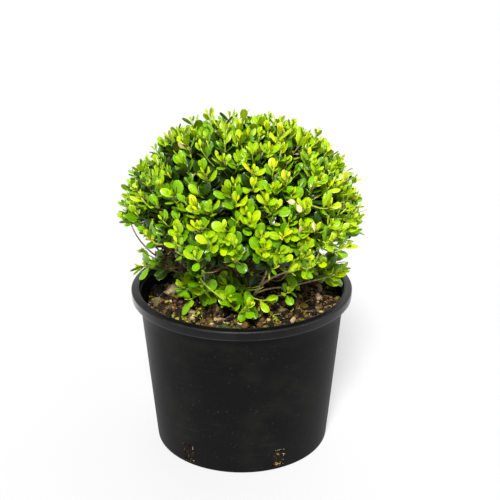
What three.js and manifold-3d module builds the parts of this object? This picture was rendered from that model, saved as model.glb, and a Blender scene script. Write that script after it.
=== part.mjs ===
// A clipped box ball (Buxus) growing in a round nursery pot.
// Millimetres, +Z up. The origin is the centre of the pot's flat underside, and -Y is the front.
import * as THREE from "three";
import { mergeVertices } from "three/addons/utils/BufferGeometryUtils.js";
import Module from "manifold-3d";

const wasm = await Module();
wasm.setup();

// ---- Driving dimensions ----
const GAP = 0.3; // left between pieces that touch

// Pot
const POT_HEIGHT = 195;
const RIM_RADIUS = 130; // outside of the rolled lip
const MOUTH_RADIUS = 120.5; // inside edge of the lip's top
const SHOULDER_RADIUS = 120.5; // outside of the wall, just under the lip
const FOOT_RADIUS = 104; // outside of the wall, at the ground
const FOOT_ROUND = 2.5; // the rounded corner round the underside
const WALL = 2.2;
const FLOOR = 3;
const LIP_DEPTH = 12; // how far the lip hangs down outside
const BEAD = 1; // a small step in the wall under the lip
const POT_SIDES = 48;
const SLOTS = 6; // drainage slots round the foot
const SLOT_WIDTH = 12.5;
const SLOT_LOW = 4;
const SLOT_HIGH = 27;
const SLOT_TURN = -36; // degrees from the front to the first slot

// Compost
const COMPOST_EDGE = 178; // its height at the wall
const COMPOST_MIDDLE = 188; // its height round the stem

// Crown: an oblate ball, clipped, with its own heights above and below its widest level
const CROWN_LEVEL = 288;
const CROWN_RADIUS = 139;
const CROWN_ABOVE = 109;
const CROWN_BELOW = 76;
const LEAFY_DEPTH = 28; // the outer layer of twigs and leaves, outside the cores
const CORE_LUMP = 4; // how far the cores' surface swells and sinks
const RING_TURN = -12; // degrees from the front to the first mass of the ring
const RING_REACH = 84; // from the axis to the hearts of the ring's masses
const RING_LEVEL = 282;
const CELL_GAP = 0.6; // from a mass to the wall of its space, so 1.2 between masses

// Wood
const STEM_RADIUS = 8;
const STEM_TAPER = 1; // added to that radius at the foot, and taken off at the fork
const STEM_HEIGHT = 26;
const STEM_LEAN = new THREE.Vector3(2, -3, 0);
const FLARE = 6; // how much wider the root flare is than the stem
const FLARE_HEIGHT = 7;
const BOUGH_RADII = [3.4, 2.2]; // at its foot and its tip
const BRANCH_RADII = [2.6, 1.7];
const INNER_RADII = [2.2, 1.8]; // a mass's own stem, inside its core
const SPRAY_RADII = [1.7, 1.3]; // a low spray's own stem

// Shoots and leaves, larger than life because the solids have fewer of them
const SHOOTS = 140;
const CROWN_PAIRS = 2;
const SPRAY_PAIRS = 3;
const SPRAY_TWIG = 22;
const TWIG_RADII = [1.7, 1.1];
const BARE = 0.42; // the share of a twig below its first pair of leaves
const LEAF_LENGTH = 29;
const LEAF_WIDTH = 18;
const LEAF_THICKNESS = 1.5;
const LEAF_WIDEST = 0.55; // the share of its length from its root to its widest place

const UP = new THREE.Vector3(0, 0, 1);
const GOLDEN_ANGLE = Math.PI * (3 - Math.sqrt(5));

// ---- Helpers ----

function vector(x, y, z) {
  return new THREE.Vector3(x, y, z);
}

// A number from 0 to 1 that depends only on its two keys.
function chance(index, channel) {
  const wave = Math.sin(index * 12.9898 + channel * 78.233) * 43758.5453;
  return wave - Math.floor(wave);
}

// The same, from -1 to 1.
function sway(index, channel) {
  return 2 * chance(index, channel) - 1;
}

// A point at a distance from the axis, at a turn in degrees from the front towards +X.
function around(turn, radius, height) {
  const angle = THREE.MathUtils.degToRad(turn);
  return vector(radius * Math.sin(angle), -radius * Math.cos(angle), height);
}

// A closed three.js geometry as a manifold-3d solid.
function solid(geometry) {
  const bare = geometry.clone();
  bare.deleteAttribute("normal");
  bare.deleteAttribute("uv");
  const merged = mergeVertices(bare, 1e-4);
  return new wasm.Manifold(
    new wasm.Mesh({
      numProp: 3,
      vertProperties: new Float32Array(merged.attributes.position.array),
      triVerts: new Uint32Array(merged.index.array),
    }),
  );
}

// A solid as a three.js geometry, without the slivers that joining leaves.
function geometryOf(manifold) {
  const sliver = 0.02;
  const mesh = manifold.asOriginal().simplify(sliver).getMesh();
  const geometry = new THREE.BufferGeometry();
  geometry.setAttribute("position", new THREE.BufferAttribute(mesh.vertProperties, 3));
  geometry.setIndex(new THREE.BufferAttribute(mesh.triVerts, 1));
  const faceted = geometry.toNonIndexed();
  faceted.computeVertexNormals();
  return faceted;
}

// The largest closed body of a solid: sealed hollows are filled and loose scraps dropped.
function largest(manifold) {
  return manifold.decompose().reduce((a, b) => (b.volume() > a.volume() ? b : a));
}

// The corners of a geometry.
function corners(geometry) {
  const places = geometry.attributes.position;
  return Array.from({ length: places.count }, (_, i) => vector().fromBufferAttribute(places, i));
}

// A tapering round limb through the given points. grow makes it fatter and longer all round.
function limb(points, [footRadius, tipRadius], sides, steps, grow = 0) {
  const route = new THREE.CatmullRomCurve3(points);
  const geometry = new THREE.CylinderGeometry(1, 1, 1, sides, steps);
  const places = geometry.attributes.position;
  const first = route.getTangent(0);
  const side = vector(first.z, first.x, first.y).cross(first).normalize();
  for (let i = 0; i < places.count; i++) {
    const t = THREE.MathUtils.clamp(places.getY(i) + 0.5, 0, 1);
    const tangent = route.getTangent(t);
    const across = side.clone().addScaledVector(tangent, -side.dot(tangent)).normalize();
    const other = tangent.clone().cross(across);
    const radius = THREE.MathUtils.lerp(footRadius, tipRadius, t) + grow;
    const end = t === 0 ? -grow : t === 1 ? grow : 0;
    const place = route.getPoint(t).addScaledVector(tangent, end);
    place.addScaledVector(other, places.getX(i) * radius);
    place.addScaledVector(across, places.getZ(i) * radius);
    places.setXYZ(i, place.x, place.y, place.z);
  }
  return solid(geometry);
}

// ---- Pot and compost ----

const LIP_BOTTOM = POT_HEIGHT - LIP_DEPTH;

// The outside of the pot's wall at a height.
function wallRadius(height) {
  return THREE.MathUtils.lerp(FOOT_RADIUS, SHOULDER_RADIUS, height / LIP_BOTTOM);
}

// A solid of revolution from a profile of [radius, height] pairs.
function lathe(profile) {
  const points = profile.map(([radius, height]) => new THREE.Vector2(radius, height));
  const geometry = new THREE.LatheGeometry(points, POT_SIDES);
  return solid(geometry.rotateX(Math.PI / 2));
}

// The rolled top of the lip, from its outer side over to its inner side.
function lipRoll() {
  const half = (RIM_RADIUS - MOUTH_RADIUS) / 2;
  const flatness = 0.8;
  return [0, 45, 90, 135].map((degrees) => {
    const angle = THREE.MathUtils.degToRad(degrees);
    const radius = MOUTH_RADIUS + half * (1 + Math.cos(angle));
    return [radius, POT_HEIGHT - half * flatness * (1 - Math.sin(angle))];
  });
}

function pot() {
  const beadFoot = LIP_BOTTOM - 4;
  let body = lathe([
    [0, 0],
    [FOOT_RADIUS - FOOT_ROUND, 0],
    [FOOT_RADIUS, FOOT_ROUND],
    [wallRadius(beadFoot), beadFoot],
    [wallRadius(beadFoot) + BEAD, beadFoot + 1],
    [SHOULDER_RADIUS + BEAD, LIP_BOTTOM],
    [RIM_RADIUS - 1.5, LIP_BOTTOM],
    ...lipRoll(),
    [wallRadius(LIP_BOTTOM) - WALL, LIP_BOTTOM],
    [FOOT_RADIUS - WALL, FLOOR],
    [0, FLOOR],
  ]);
  for (let i = 0; i < SLOTS; i++) {
    const turn = SLOT_TURN + (i * 360) / SLOTS;
    const place = around(turn, FOOT_RADIUS, (SLOT_LOW + SLOT_HIGH) / 2);
    const box = new THREE.BoxGeometry(SLOT_WIDTH, 5 * WALL, SLOT_HIGH - SLOT_LOW);
    box.rotateZ(THREE.MathUtils.degToRad(turn));
    box.translate(place.x, place.y, place.z);
    body = body.subtract(solid(box));
  }
  return body;
}

// The height of the compost's mounded top at a distance from the axis.
function compostHeight(radius) {
  const fall = THREE.MathUtils.smoothstep(radius / MOUTH_RADIUS, 0.12, 0.95);
  return THREE.MathUtils.lerp(COMPOST_MIDDLE, COMPOST_EDGE, fall);
}

function compost() {
  const inside = (height) => wallRadius(height) - WALL - 2 * GAP;
  const top = [0.85, 0.6, 0.35, 0.12].map((share) => {
    const radius = share * inside(COMPOST_EDGE);
    return [radius, compostHeight(radius)];
  });
  return lathe([
    [0, FLOOR + GAP],
    [inside(FLOOR + GAP), FLOOR + GAP],
    [inside(COMPOST_EDGE), COMPOST_EDGE],
    ...top,
    [0, COMPOST_MIDDLE],
  ]);
}

// Whether a point is clear of the pot and the compost.
function overPot(point) {
  const radius = Math.hypot(point.x, point.y);
  if (radius > MOUTH_RADIUS - 4) return point.z > POT_HEIGHT + 1.5;
  return point.z > compostHeight(radius) + 3;
}

// ---- The crown's outline and its masses ----

// How much the clipped outline swells or sinks in a direction.
function swell(direction) {
  const turn = Math.atan2(direction.x, -direction.y);
  const waist = 1 - direction.z * direction.z;
  const ripple = Math.sin(3 * turn + 0.6) + 0.6 * Math.sin(5 * turn - 1.1);
  return 1 + 0.014 * waist * ripple + 0.012 * Math.cos(4 * direction.z + 2 * turn);
}

// The crown's surface in a direction, drawn in by a depth.
function crownPoint(direction, depth) {
  const height = direction.z > 0 ? CROWN_ABOVE : CROWN_BELOW;
  const share = swell(direction);
  return vector(
    direction.x * (CROWN_RADIUS * share - depth),
    direction.y * (CROWN_RADIUS * share - depth),
    direction.z * (height * share - depth) + CROWN_LEVEL,
  );
}

// Each mass keeps to the space that is nearer to its heart than to any other's. It grows from
// its foot, where its bough or branch ends, and a low spray reaches out to its tip.
const MASSES = [{ name: "foliage_top", heart: vector(0, 4, 350), foot: vector(1, 2, 274) }];
const RING = ["front", "front_right", "back_right", "back", "back_left", "front_left"];
RING.forEach((side, i) => {
  const turn = RING_TURN + (i * 360) / RING.length;
  MASSES.push({
    name: `foliage_${side}`,
    heart: around(turn, RING_REACH + 3 * sway(i, 31), RING_LEVEL + 5 * sway(i, 32)),
    foot: around(turn, 60, 251),
  });
});
const SPRAYS = [
  { side: "left", turn: -98, reach: 104, height: 208 },
  { side: "front_left", turn: -42, reach: 88, height: 205 },
  { side: "front", turn: 4, reach: 84, height: 203 },
  { side: "right", turn: 82, reach: 106, height: 213 },
  { side: "back_right", turn: 146, reach: 98, height: 208 },
  { side: "back_left", turn: 208, reach: 100, height: 207 },
];
for (const { side, turn, reach, height } of SPRAYS) {
  MASSES.push({
    name: `spray_${side}`,
    heart: around(turn, 0.9 * reach, height - 30),
    foot: around(turn, 0.42 * reach, 206),
    tip: around(turn, reach, height),
  });
}

// The flat wall between the spaces of two masses: a point on it, and its direction outwards.
function wallBetween(mass, other) {
  const middle = mass.heart.clone().lerp(other.heart, 0.5);
  const outwards = other.heart.clone().sub(mass.heart).normalize();
  return { middle, outwards };
}

// Whether a ball of the given radius round a point keeps clear of the walls of a mass's space.
function inSpace(point, mass, radius = 0) {
  return MASSES.every((other) => {
    if (other === mass) return true;
    const { middle, outwards } = wallBetween(mass, other);
    return point.clone().sub(middle).dot(outwards) < -CELL_GAP - radius;
  });
}

// ---- Wood ----

const FOOT = vector(0, 0, COMPOST_MIDDLE + GAP);
const FORK = FOOT.clone().add(STEM_LEAN).add(vector(0, 0, STEM_HEIGHT));

// The short stem with its root flare, cut flat where it meets the compost.
function mainStem(grow = 0) {
  const bend = FOOT.clone().lerp(FORK, 0.5).add(vector(-0.8, 0.5, 0));
  const radii = [STEM_RADIUS + STEM_TAPER, STEM_RADIUS - STEM_TAPER];
  const stem = limb([FOOT, bend, FORK], radii, 12, 3, grow);
  const flare = new THREE.CylinderGeometry(
    STEM_RADIUS - STEM_TAPER + grow,
    STEM_RADIUS + FLARE + grow,
    FLARE_HEIGHT,
    12,
  );
  flare.rotateX(Math.PI / 2).translate(FOOT.x, FOOT.y, FOOT.z + FLARE_HEIGHT / 2);
  const below = 20;
  const ground = new THREE.BoxGeometry(60, 60, below);
  ground.translate(FOOT.x, FOOT.y, FOOT.z - grow - below / 2);
  return stem.add(solid(flare)).subtract(solid(ground));
}

// The three points of a limb from start to end, its middle raised by lift.
function arch(start, end, lift) {
  const middle = start.clone().lerp(end, 0.5);
  middle.z += lift;
  return [start, middle, end];
}

// The limb that carries a mass: a bough up into the crown, or a low branch out to a spray. The
// first bough is the leader, which goes on from the stem's top, and the others leave its side.
function carrier(mass, index) {
  const low = Boolean(mass.tip);
  const out = mass.foot.clone().setZ(0).normalize();
  const height = low ? 8 : 16 + 6 * (index % 2);
  const start =
    index === 0
      ? FORK.clone().add(vector(0, 0, -4))
      : FORK.clone().addScaledVector(out, 2).setZ(FOOT.z + height);
  return {
    name: mass.name.replace("foliage", "bough").replace("spray", "branch"),
    route: arch(start, mass.foot, low ? 1.5 : -5),
    radii: low ? BRANCH_RADII : BOUGH_RADII,
    sides: low ? 5 : 6,
  };
}

// ---- Leaves ----

// A leaf from its root: eight faces, widest past its middle, its flat side across `face`.
function leaf(root, along, face, size) {
  const profile = [
    [0, 0],
    [1, LEAF_WIDEST],
    [0, 1],
  ].map(([radius, place]) => new THREE.Vector2(radius, place));
  const geometry = new THREE.LatheGeometry(profile, 4);
  const wide = face.clone().cross(along).normalize();
  const thick = wide.clone().cross(along);
  const turn = new THREE.Matrix4().makeBasis(
    wide.multiplyScalar((size * LEAF_WIDTH) / 2),
    along.clone().multiplyScalar(size * LEAF_LENGTH),
    thick.multiplyScalar(LEAF_THICKNESS / 2),
  );
  return geometry.applyMatrix4(turn.setPosition(root));
}

// Whether a new leaf is clear of the limbs, and of the leaves that its mass already has.
function isClear(blade, middle, leaves, guards) {
  if (guards.some((guard) => !blade.intersect(guard).isEmpty())) return false;
  const near = leaves.filter((other) => middle.distanceTo(other.middle) < LEAF_LENGTH);
  return near.every((other) => blade.intersect(other.blade).isEmpty());
}

// Grows one twig with opposite pairs of leaves, each pair turned from the one below it, and
// returns the twig. Its leaves are added to the mass's list: a leaf that has no room turns a
// little round the twig, and is left out if that doesn't help.
function shoot(key, foot, tip, pairs, mass, leaves, guards) {
  const along = tip.clone().sub(foot).normalize();
  const side = along.clone().cross(vector(sway(key, 1), sway(key, 2), 1.5)).normalize();
  for (let pair = 0; pair < pairs; pair++) {
    const last = pair === pairs - 1;
    const share = last ? 0.96 : BARE + ((0.9 - BARE) * pair) / (pairs - 1);
    const spread = last ? 0.62 : 1.05; // radians from the twig to the leaf
    const size = (last ? 0.88 : 1) * (0.92 + 0.16 * chance(key, 10 + pair));
    for (const half of [0, Math.PI]) {
      for (const turn of [0, 0.5, -0.5, 0.9, -0.9]) {
        const angle = half + 1.35 * pair + 0.4 * sway(key, 20 + pair) + turn;
        const out = side.clone().applyAxisAngle(along, angle);
        const way = along.clone().multiplyScalar(Math.cos(spread));
        way.addScaledVector(out, Math.sin(spread));
        const face = along.clone().multiplyScalar(Math.sin(spread));
        face.addScaledVector(out, -Math.cos(spread));
        const root = foot.clone().lerp(tip, share).addScaledVector(out, 0.25);
        const shape = leaf(root, way, face, size);
        if (!corners(shape).every((p) => inSpace(p, mass) && overPot(p))) continue;
        const blade = solid(shape);
        const middle = root.addScaledVector(way, LEAF_LENGTH / 2);
        if (!isClear(blade, middle, leaves, guards)) continue;
        leaves.push({ blade, middle });
        break;
      }
    }
  }
  return limb([foot, foot.clone().lerp(tip, 0.5), tip], TWIG_RADII, 3, 1);
}

// ---- Masses ----

// The core of a crown mass: its share of the drawn-in crown, flat where it meets its neighbours.
function core(mass) {
  const geometry = new THREE.IcosahedronGeometry(1, 5);
  const places = geometry.attributes.position;
  for (let i = 0; i < places.count; i++) {
    const direction = vector().fromBufferAttribute(places, i).normalize();
    const lump = Math.sin(9 * direction.x + 4 * direction.z) * Math.sin(8 * direction.y);
    const place = crownPoint(direction, LEAFY_DEPTH + CORE_LUMP * lump);
    places.setXYZ(i, place.x, place.y, place.z);
  }
  let share = solid(geometry);
  const beyond = 400;
  for (const other of MASSES) {
    if (other === mass) continue;
    const { middle, outwards } = wallBetween(mass, other);
    const far = middle.addScaledVector(outwards, beyond / 2 - CELL_GAP);
    const box = new THREE.BoxGeometry(2 * beyond, 2 * beyond, beyond);
    box.applyQuaternion(new THREE.Quaternion().setFromUnitVectors(UP, outwards));
    box.translate(far.x, far.y, far.z);
    share = share.subtract(solid(box));
  }
  return share;
}

// A crown mass's stem, its core, and the twigs that stand out of the core. The twigs of all
// the crown masses are spread evenly over the whole crown, and each mass grows its own.
function crownMass(mass, guards) {
  const inner = mass.foot.clone().lerp(mass.heart, 0.5);
  const wood = [core(mass), limb(arch(mass.foot, inner, 0), INNER_RADII, 6, 2)];
  const leaves = [];
  for (let i = 0; i < SHOOTS; i++) {
    const height = 1 - (2 * (i + 0.5)) / SHOOTS;
    if (height < -0.86) continue;
    const turn = i * GOLDEN_ANGLE;
    const flat = Math.sqrt(1 - height * height);
    const direction = vector(flat * Math.sin(turn), -flat * Math.cos(turn), height);
    const root = crownPoint(direction, LEAFY_DEPTH + 9);
    const lean = vector(0.2 * sway(i, 3), 0.2 * sway(i, 4), 0.25 + 0.12 * sway(i, 5));
    const way = crownPoint(direction, 0).sub(root).normalize().add(lean).normalize();
    const tip = root.clone().addScaledVector(way, LEAFY_DEPTH - 8 + 3 * sway(i, 6));
    if (![root, tip].every((p) => inSpace(p, mass, TWIG_RADII[0]))) continue;
    wood.push(shoot(i, root, tip, CROWN_PAIRS, mass, leaves, guards));
  }
  return { wood, leaves };
}

// A low spray: one stem that goes on from its branch, with a twig to each side and one ahead.
function lowSpray(mass, index, guards) {
  const points = arch(mass.foot, mass.tip, 4);
  const route = new THREE.CatmullRomCurve3(points);
  const wood = [limb(points, SPRAY_RADII, 5, 2)];
  const leaves = [];
  const forks = [
    { share: 0.4, sideways: 1 },
    { share: 0.7, sideways: -1 },
    { share: 1, sideways: 0 },
  ];
  forks.forEach(({ share, sideways }, i) => {
    const key = 500 + 10 * index + i;
    const root = route.getPoint(0.97 * share);
    const ahead = route.getTangent(share);
    const way = ahead.clone().cross(UP).multiplyScalar(sideways).addScaledVector(ahead, 0.75);
    way.z += 0.35;
    const tip = root.clone().addScaledVector(way.normalize(), SPRAY_TWIG + 4 * sway(key, 7));
    if (!inSpace(tip, mass, TWIG_RADII[0])) return;
    wood.push(shoot(key, root, tip, SPRAY_PAIRS, mass, leaves, guards));
  });
  return { wood, leaves };
}

// ---- Assembly ----

const plastic = new THREE.MeshStandardMaterial({ color: 0x25262a, roughness: 0.55 });
const soil = new THREE.MeshStandardMaterial({ color: 0x43341f, roughness: 0.95 });
const bark = new THREE.MeshStandardMaterial({ color: 0x7d6a45, roughness: 0.85 });
const green = new THREE.MeshStandardMaterial({ color: 0x76a818, roughness: 0.4 });

const plant = new THREE.Group();

function place(name, made, material) {
  const mesh = new THREE.Mesh(geometryOf(largest(made)), material);
  mesh.name = name;
  plant.add(mesh);
}

place("pot", pot(), plastic);
place("compost", compost(), soil);
place("main_stem", mainStem(), bark);

const stemGuard = mainStem(GAP);
const carriers = MASSES.map(carrier);
const guards = [stemGuard];
for (const { name, route, radii, sides } of carriers) {
  place(name, limb(route, radii, sides, 3).subtract(stemGuard), bark);
  guards.push(limb(route, radii, sides, 3, GAP));
}

MASSES.forEach((mass, index) => {
  const { wood, leaves } = mass.tip ? lowSpray(mass, index, guards) : crownMass(mass, guards);
  const clear = guards.reduce((whole, guard) => whole.subtract(guard), wasm.Manifold.union(wood));
  place(mass.name, wasm.Manifold.union([clear, ...leaves.map(({ blade }) => blade)]), green);
});

export default plant;
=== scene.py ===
"""A clipped box ball in its nursery pot, dressed for a portrait in a white studio.

Lengths are in metres, +Z is up and -Y is the front. The plant grows by the same rule as the
part's own solids, carried on to finer twigs, pairs of leaves, bark, compost and litter.
"""

import logging
import math
from dataclasses import dataclass, field
from enum import Enum, IntEnum
from typing import Optional, Sequence

import bpy
import numpy as np
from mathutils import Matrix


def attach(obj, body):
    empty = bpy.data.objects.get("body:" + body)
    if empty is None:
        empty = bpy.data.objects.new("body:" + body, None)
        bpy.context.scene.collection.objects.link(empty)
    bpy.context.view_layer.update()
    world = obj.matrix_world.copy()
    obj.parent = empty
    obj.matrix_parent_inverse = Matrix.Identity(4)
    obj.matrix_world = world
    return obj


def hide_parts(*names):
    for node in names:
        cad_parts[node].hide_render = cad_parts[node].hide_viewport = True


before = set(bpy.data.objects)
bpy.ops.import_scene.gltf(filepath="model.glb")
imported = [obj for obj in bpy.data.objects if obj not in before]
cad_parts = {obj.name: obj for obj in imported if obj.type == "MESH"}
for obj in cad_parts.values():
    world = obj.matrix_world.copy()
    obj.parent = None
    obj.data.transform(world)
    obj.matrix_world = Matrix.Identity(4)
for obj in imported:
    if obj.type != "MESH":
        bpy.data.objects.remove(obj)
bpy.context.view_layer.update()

logging.basicConfig(level=logging.INFO, format="%(message)s")
log = logging.getLogger("box_ball")

MM = 0.001
BODY = "root"
UP = np.array([0.0, 0.0, 1.0])
GOLDEN_ANGLE = math.pi * (3 - math.sqrt(5))


class Slot(Enum):
    """The record's material slots."""

    POT = "pot_plastic"
    COMPOST = "compost"
    BARK = "bark"
    TWIG = "green_twig"
    YOUNG = "leaf_young"
    MID = "leaf_mid"
    DARK = "leaf_dark"
    DRY = "leaf_dry"


class Key:
    """The first key of each kind of crumb, shoot and leaf, far enough apart for no two to share one."""

    LUMPS = 77.0
    SPRAY_SHOOTS = 530.0
    SLOT_CRUMBS = 600.0
    SLOT_RAGS = 800.0
    FINE_SHOOTS = 1000.0
    BARE_TWIGS = 3000.0
    STRAY_SHOOTS = 5000.0
    TALL_SHOOTS = 7000.0
    LEFT_STEMS = 8000.0
    FRONT_STEMS = 8100.0
    FORKED_STEMS = 8200.0
    CLIPPINGS = 9000.0
    WITHERED = 9500.0
    DEEP_SHOOTS = 11000.0
    DEAD_TWIGS = 13000.0

# ---- Chance, directions and smooth noise ----


def chance(index: np.ndarray, channel: float) -> np.ndarray:
    """Numbers from 0 to 1 that depend only on two keys: the fraction of a large sine."""
    wave = np.sin(np.asarray(index, float) * 12.9898 + channel * 78.233) * 43758.5453
    return wave - np.floor(wave)


def sway(index: np.ndarray, channel: float) -> np.ndarray:
    """The same numbers, from -1 to 1."""
    return 2 * chance(index, channel) - 1


def swayed(index: np.ndarray, channel: float) -> np.ndarray:
    """Vectors of three such numbers for each index."""
    return np.stack([sway(index, channel + i / 3) for i in range(3)], -1)


def unit(vectors: np.ndarray) -> np.ndarray:
    """Vectors divided by their lengths."""
    return vectors / np.maximum(np.linalg.norm(vectors, axis=-1, keepdims=True), 1e-12)


def dot(first: np.ndarray, second: np.ndarray) -> np.ndarray:
    """The dot products of rows of vectors, with the last axis kept."""
    return np.sum(first * second, -1, keepdims=True)


def around(turn: np.ndarray, radius: np.ndarray, height: np.ndarray) -> np.ndarray:
    """Points at a distance from the axis, at a turn in degrees from the front towards +X."""
    angle = np.radians(turn)
    return np.stack(np.broadcast_arrays(radius * np.sin(angle), -radius * np.cos(angle), height), -1)


def even_directions(count: int, lowest: float) -> tuple[np.ndarray, np.ndarray]:
    """Directions spread evenly over a ball by the golden angle, down to a lowest height.

    Args:
        count: how many directions the whole ball would take.
        lowest: the lowest height that is kept, from -1 to 1.

    Returns:
        The index of each direction that is kept, and its unit vector.
    """
    index = np.arange(count)
    height = 1 - 2 * (index + 0.5) / count
    index, height = index[height >= lowest], height[height >= lowest]
    flat = np.sqrt(1 - height**2)
    turn = index * GOLDEN_ANGLE
    return index, np.stack([flat * np.sin(turn), -flat * np.cos(turn), height], -1)


def value_noise(points: np.ndarray, scale: float, seed: float) -> np.ndarray:
    """Smooth noise from -1 to 1: random values on a cubic grid, blended by 3t^2 - 2t^3.

    Args:
        points: places, as (..., 3) in metres.
        scale: the grid's pitch in metres.
        seed: a number that picks another noise.

    Returns:
        One value for each place.
    """
    place = np.asarray(points) / scale
    cell = np.floor(place)
    share = place - cell
    share = share * share * (3 - 2 * share)
    total = np.zeros(place.shape[:-1])
    for corner in np.ndindex(2, 2, 2):
        key = cell + corner
        index = key[..., 0] * 17.0 + key[..., 1] * 59.4 + key[..., 2] * 113.7
        weight = np.prod(np.where(corner, share, 1 - share), axis=-1)
        total += weight * sway(index, seed)
    return total


def bezier(points: Sequence[np.ndarray], t: np.ndarray) -> np.ndarray:
    """Places on Bezier curves: the sum of the control points by Bernstein's weights.

    Args:
        points: the control points, each (n, 3).
        t: shares of the way along, (k,) for all curves or (n, k).

    Returns:
        The places as (n, k, 3).
    """
    t = np.atleast_2d(t)[..., None]
    degree = len(points) - 1
    total = 0
    for i, point in enumerate(points):
        weight = math.comb(degree, i) * t**i * (1 - t) ** (degree - i)
        total = total + weight * np.asarray(point)[:, None, :]
    return total


def place_on(points: Sequence[np.ndarray], share: np.ndarray) -> np.ndarray:
    """One place on each of several Bezier curves, at its own share of the way along."""
    return bezier(points, share[:, None])[:, 0]


def arch(start: np.ndarray, end: np.ndarray, lift: float) -> list[np.ndarray]:
    """The three control points of curves from start to end whose middles are raised by lift."""
    return [start, (start + end) / 2 + 2 * lift * UP, end]


def swept(start: np.ndarray, ahead: np.ndarray, first: float, tip: np.ndarray, way: np.ndarray,
          last: float) -> list[np.ndarray]:
    """The control points of curves that leave their starts one way and reach their tips another.

    Args:
        start: where each starts, (n, 3).
        ahead: the unit vectors along which they leave.
        first: the share of their span over which they do.
        tip: where each ends, (n, 3).
        way: the unit vectors along which they arrive.
        last: the share of their span over which they do.

    Returns:
        Four arrays of control points.
    """
    span = np.linalg.norm(tip - start, axis=-1, keepdims=True)
    return [start, start + ahead * first * span, tip - way * last * span, tip]

# ---- Meshes ----


@dataclass
class Shell:
    """A mesh in the making: vertices, faces with -1 for a missing corner, slots, UV, margins."""

    vertices: np.ndarray
    faces: np.ndarray
    slots: np.ndarray
    uv: Optional[np.ndarray] = None
    margins: Optional[np.ndarray] = None

    @staticmethod
    def joined(shells: Sequence["Shell"]) -> "Shell":
        """Several shells as one, with their faces renumbered.

        Args:
            shells: the shells to join, none with a UV map.

        Returns:
            One shell.
        """
        offset = np.cumsum([0] + [len(s.vertices) for s in shells[:-1]])
        faces = [np.where(s.faces < 0, -1, s.faces + o) for s, o in zip(shells, offset)]
        vertices, slots = (np.concatenate(part) for part in zip(*((s.vertices, s.slots) for s in shells)))
        return Shell(vertices, np.concatenate(faces), slots)


def linked(name: str, data: bpy.types.ID) -> bpy.types.Object:
    """Puts a new object into the scene.

    Args:
        name: its name.
        data: the mesh, the light or the camera that it shows.

    Returns:
        The object.
    """
    item = bpy.data.objects.new(name, data)
    bpy.context.scene.collection.objects.link(item)
    return item


def add_piece(name: str, shell: Shell, materials: Sequence[bpy.types.Material],
              replaced: Sequence[str] = ()) -> bpy.types.Object:
    """Makes a shell an object that rides on the part's one body.

    Args:
        name: the piece's name.
        shell: its mesh.
        materials: its materials, in the order of the shell's slots.
        replaced: the part's nodes that it stands for.

    Returns:
        The object.
    """
    corners = shell.faces.ravel()[shell.faces.ravel() >= 0]
    counts = np.where(shell.faces[:, 3] < 0, 3, 4)
    mesh = bpy.data.meshes.new(name)
    mesh.vertices.add(len(shell.vertices))
    mesh.vertices.foreach_set("co", shell.vertices.astype(np.float32).ravel())
    mesh.loops.add(len(corners))
    mesh.loops.foreach_set("vertex_index", corners.astype(np.int32))
    mesh.polygons.add(len(counts))
    mesh.polygons.foreach_set("loop_start", (np.cumsum(counts) - counts).astype(np.int32))
    mesh.polygons.foreach_set("material_index", shell.slots.astype(np.int32))
    mesh.update(calc_edges=True)
    mesh.polygons.foreach_set("use_smooth", np.ones(len(counts), bool))
    if shell.uv is not None:
        layer = mesh.uv_layers.new(name="surface")
        layer.data.foreach_set("uv", shell.uv[corners].astype(np.float32).ravel())
    if shell.margins is not None:
        mark_margins(mesh, shell.margins)
    for material in materials:
        mesh.materials.append(material)
    piece = linked(name, mesh)
    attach(piece, BODY)
    if replaced:
        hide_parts(*replaced)
    log.info("%s: %d triangles", name, np.sum(counts - 2))
    return piece


def mark_margins(mesh: bpy.types.Mesh, margins: np.ndarray) -> None:
    """Marks as sharp each edge whose two ends lie on the same margin.

    Args:
        mesh: the mesh.
        margins: a set of margins for each vertex, as bits.
    """
    ends = np.zeros(2 * len(mesh.edges), np.int32)
    mesh.edges.foreach_get("vertices", ends)
    ends = margins[ends.reshape(-1, 2)]
    attribute = mesh.attributes.new("sharp_edge", "BOOLEAN", "EDGE")
    attribute.data.foreach_set("value", (ends[:, 0] & ends[:, 1]) > 0)


def ring_faces(rows: int, columns: int) -> np.ndarray:
    """The quads between rows of closed rings.

    Args:
        rows: how many rings.
        columns: how many vertices a ring has.

    Returns:
        The faces as ((rows - 1) * columns, 4).
    """
    row, column = np.mgrid[0 : rows - 1, 0:columns]
    after = (column + 1) % columns
    here, above = row * columns, (row + 1) * columns
    return np.stack([here + column, here + after, above + after, above + column], -1).reshape(-1, 4)


def fan_faces(centre: int, first: int, columns: int, forwards: bool) -> np.ndarray:
    """The triangles from one vertex to the ring that starts at another.

    Args:
        centre: the vertex in the middle.
        first: the ring's first vertex.
        columns: how many vertices the ring has.
        forwards: whether the triangles turn the same way as the ring.

    Returns:
        The faces, with -1 for the fourth corner.
    """
    column = np.arange(columns)
    here, after = first + column, first + (column + 1) % columns
    pair = (here, after) if forwards else (after, here)
    return np.stack([np.full(columns, centre), *pair, np.full(columns, -1)], -1)


def lofted(rings: np.ndarray) -> Shell:
    """Closed bodies from rows of rings, each end closed by a fan to its own middle.

    Args:
        rings: the rings' places as (bodies, rows, columns, 3).

    Returns:
        One shell with all of the bodies.
    """
    count, rows, columns = rings.shape[:3]
    ends = rings[:, [0, -1]].mean(axis=2)
    vertices = np.concatenate([rings.reshape(count, -1, 3), ends], 1)
    last = rows * columns
    faces = np.concatenate([
        ring_faces(rows, columns),
        fan_faces(last, 0, columns, False),
        fan_faces(last + 1, last - columns, columns, True),
    ])
    offset = np.arange(count)[:, None, None] * (last + 2)
    faces = np.where(faces < 0, -1, faces + offset).reshape(-1, 4)
    return Shell(vertices.reshape(-1, 3), faces, np.zeros(len(faces), int))


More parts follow.
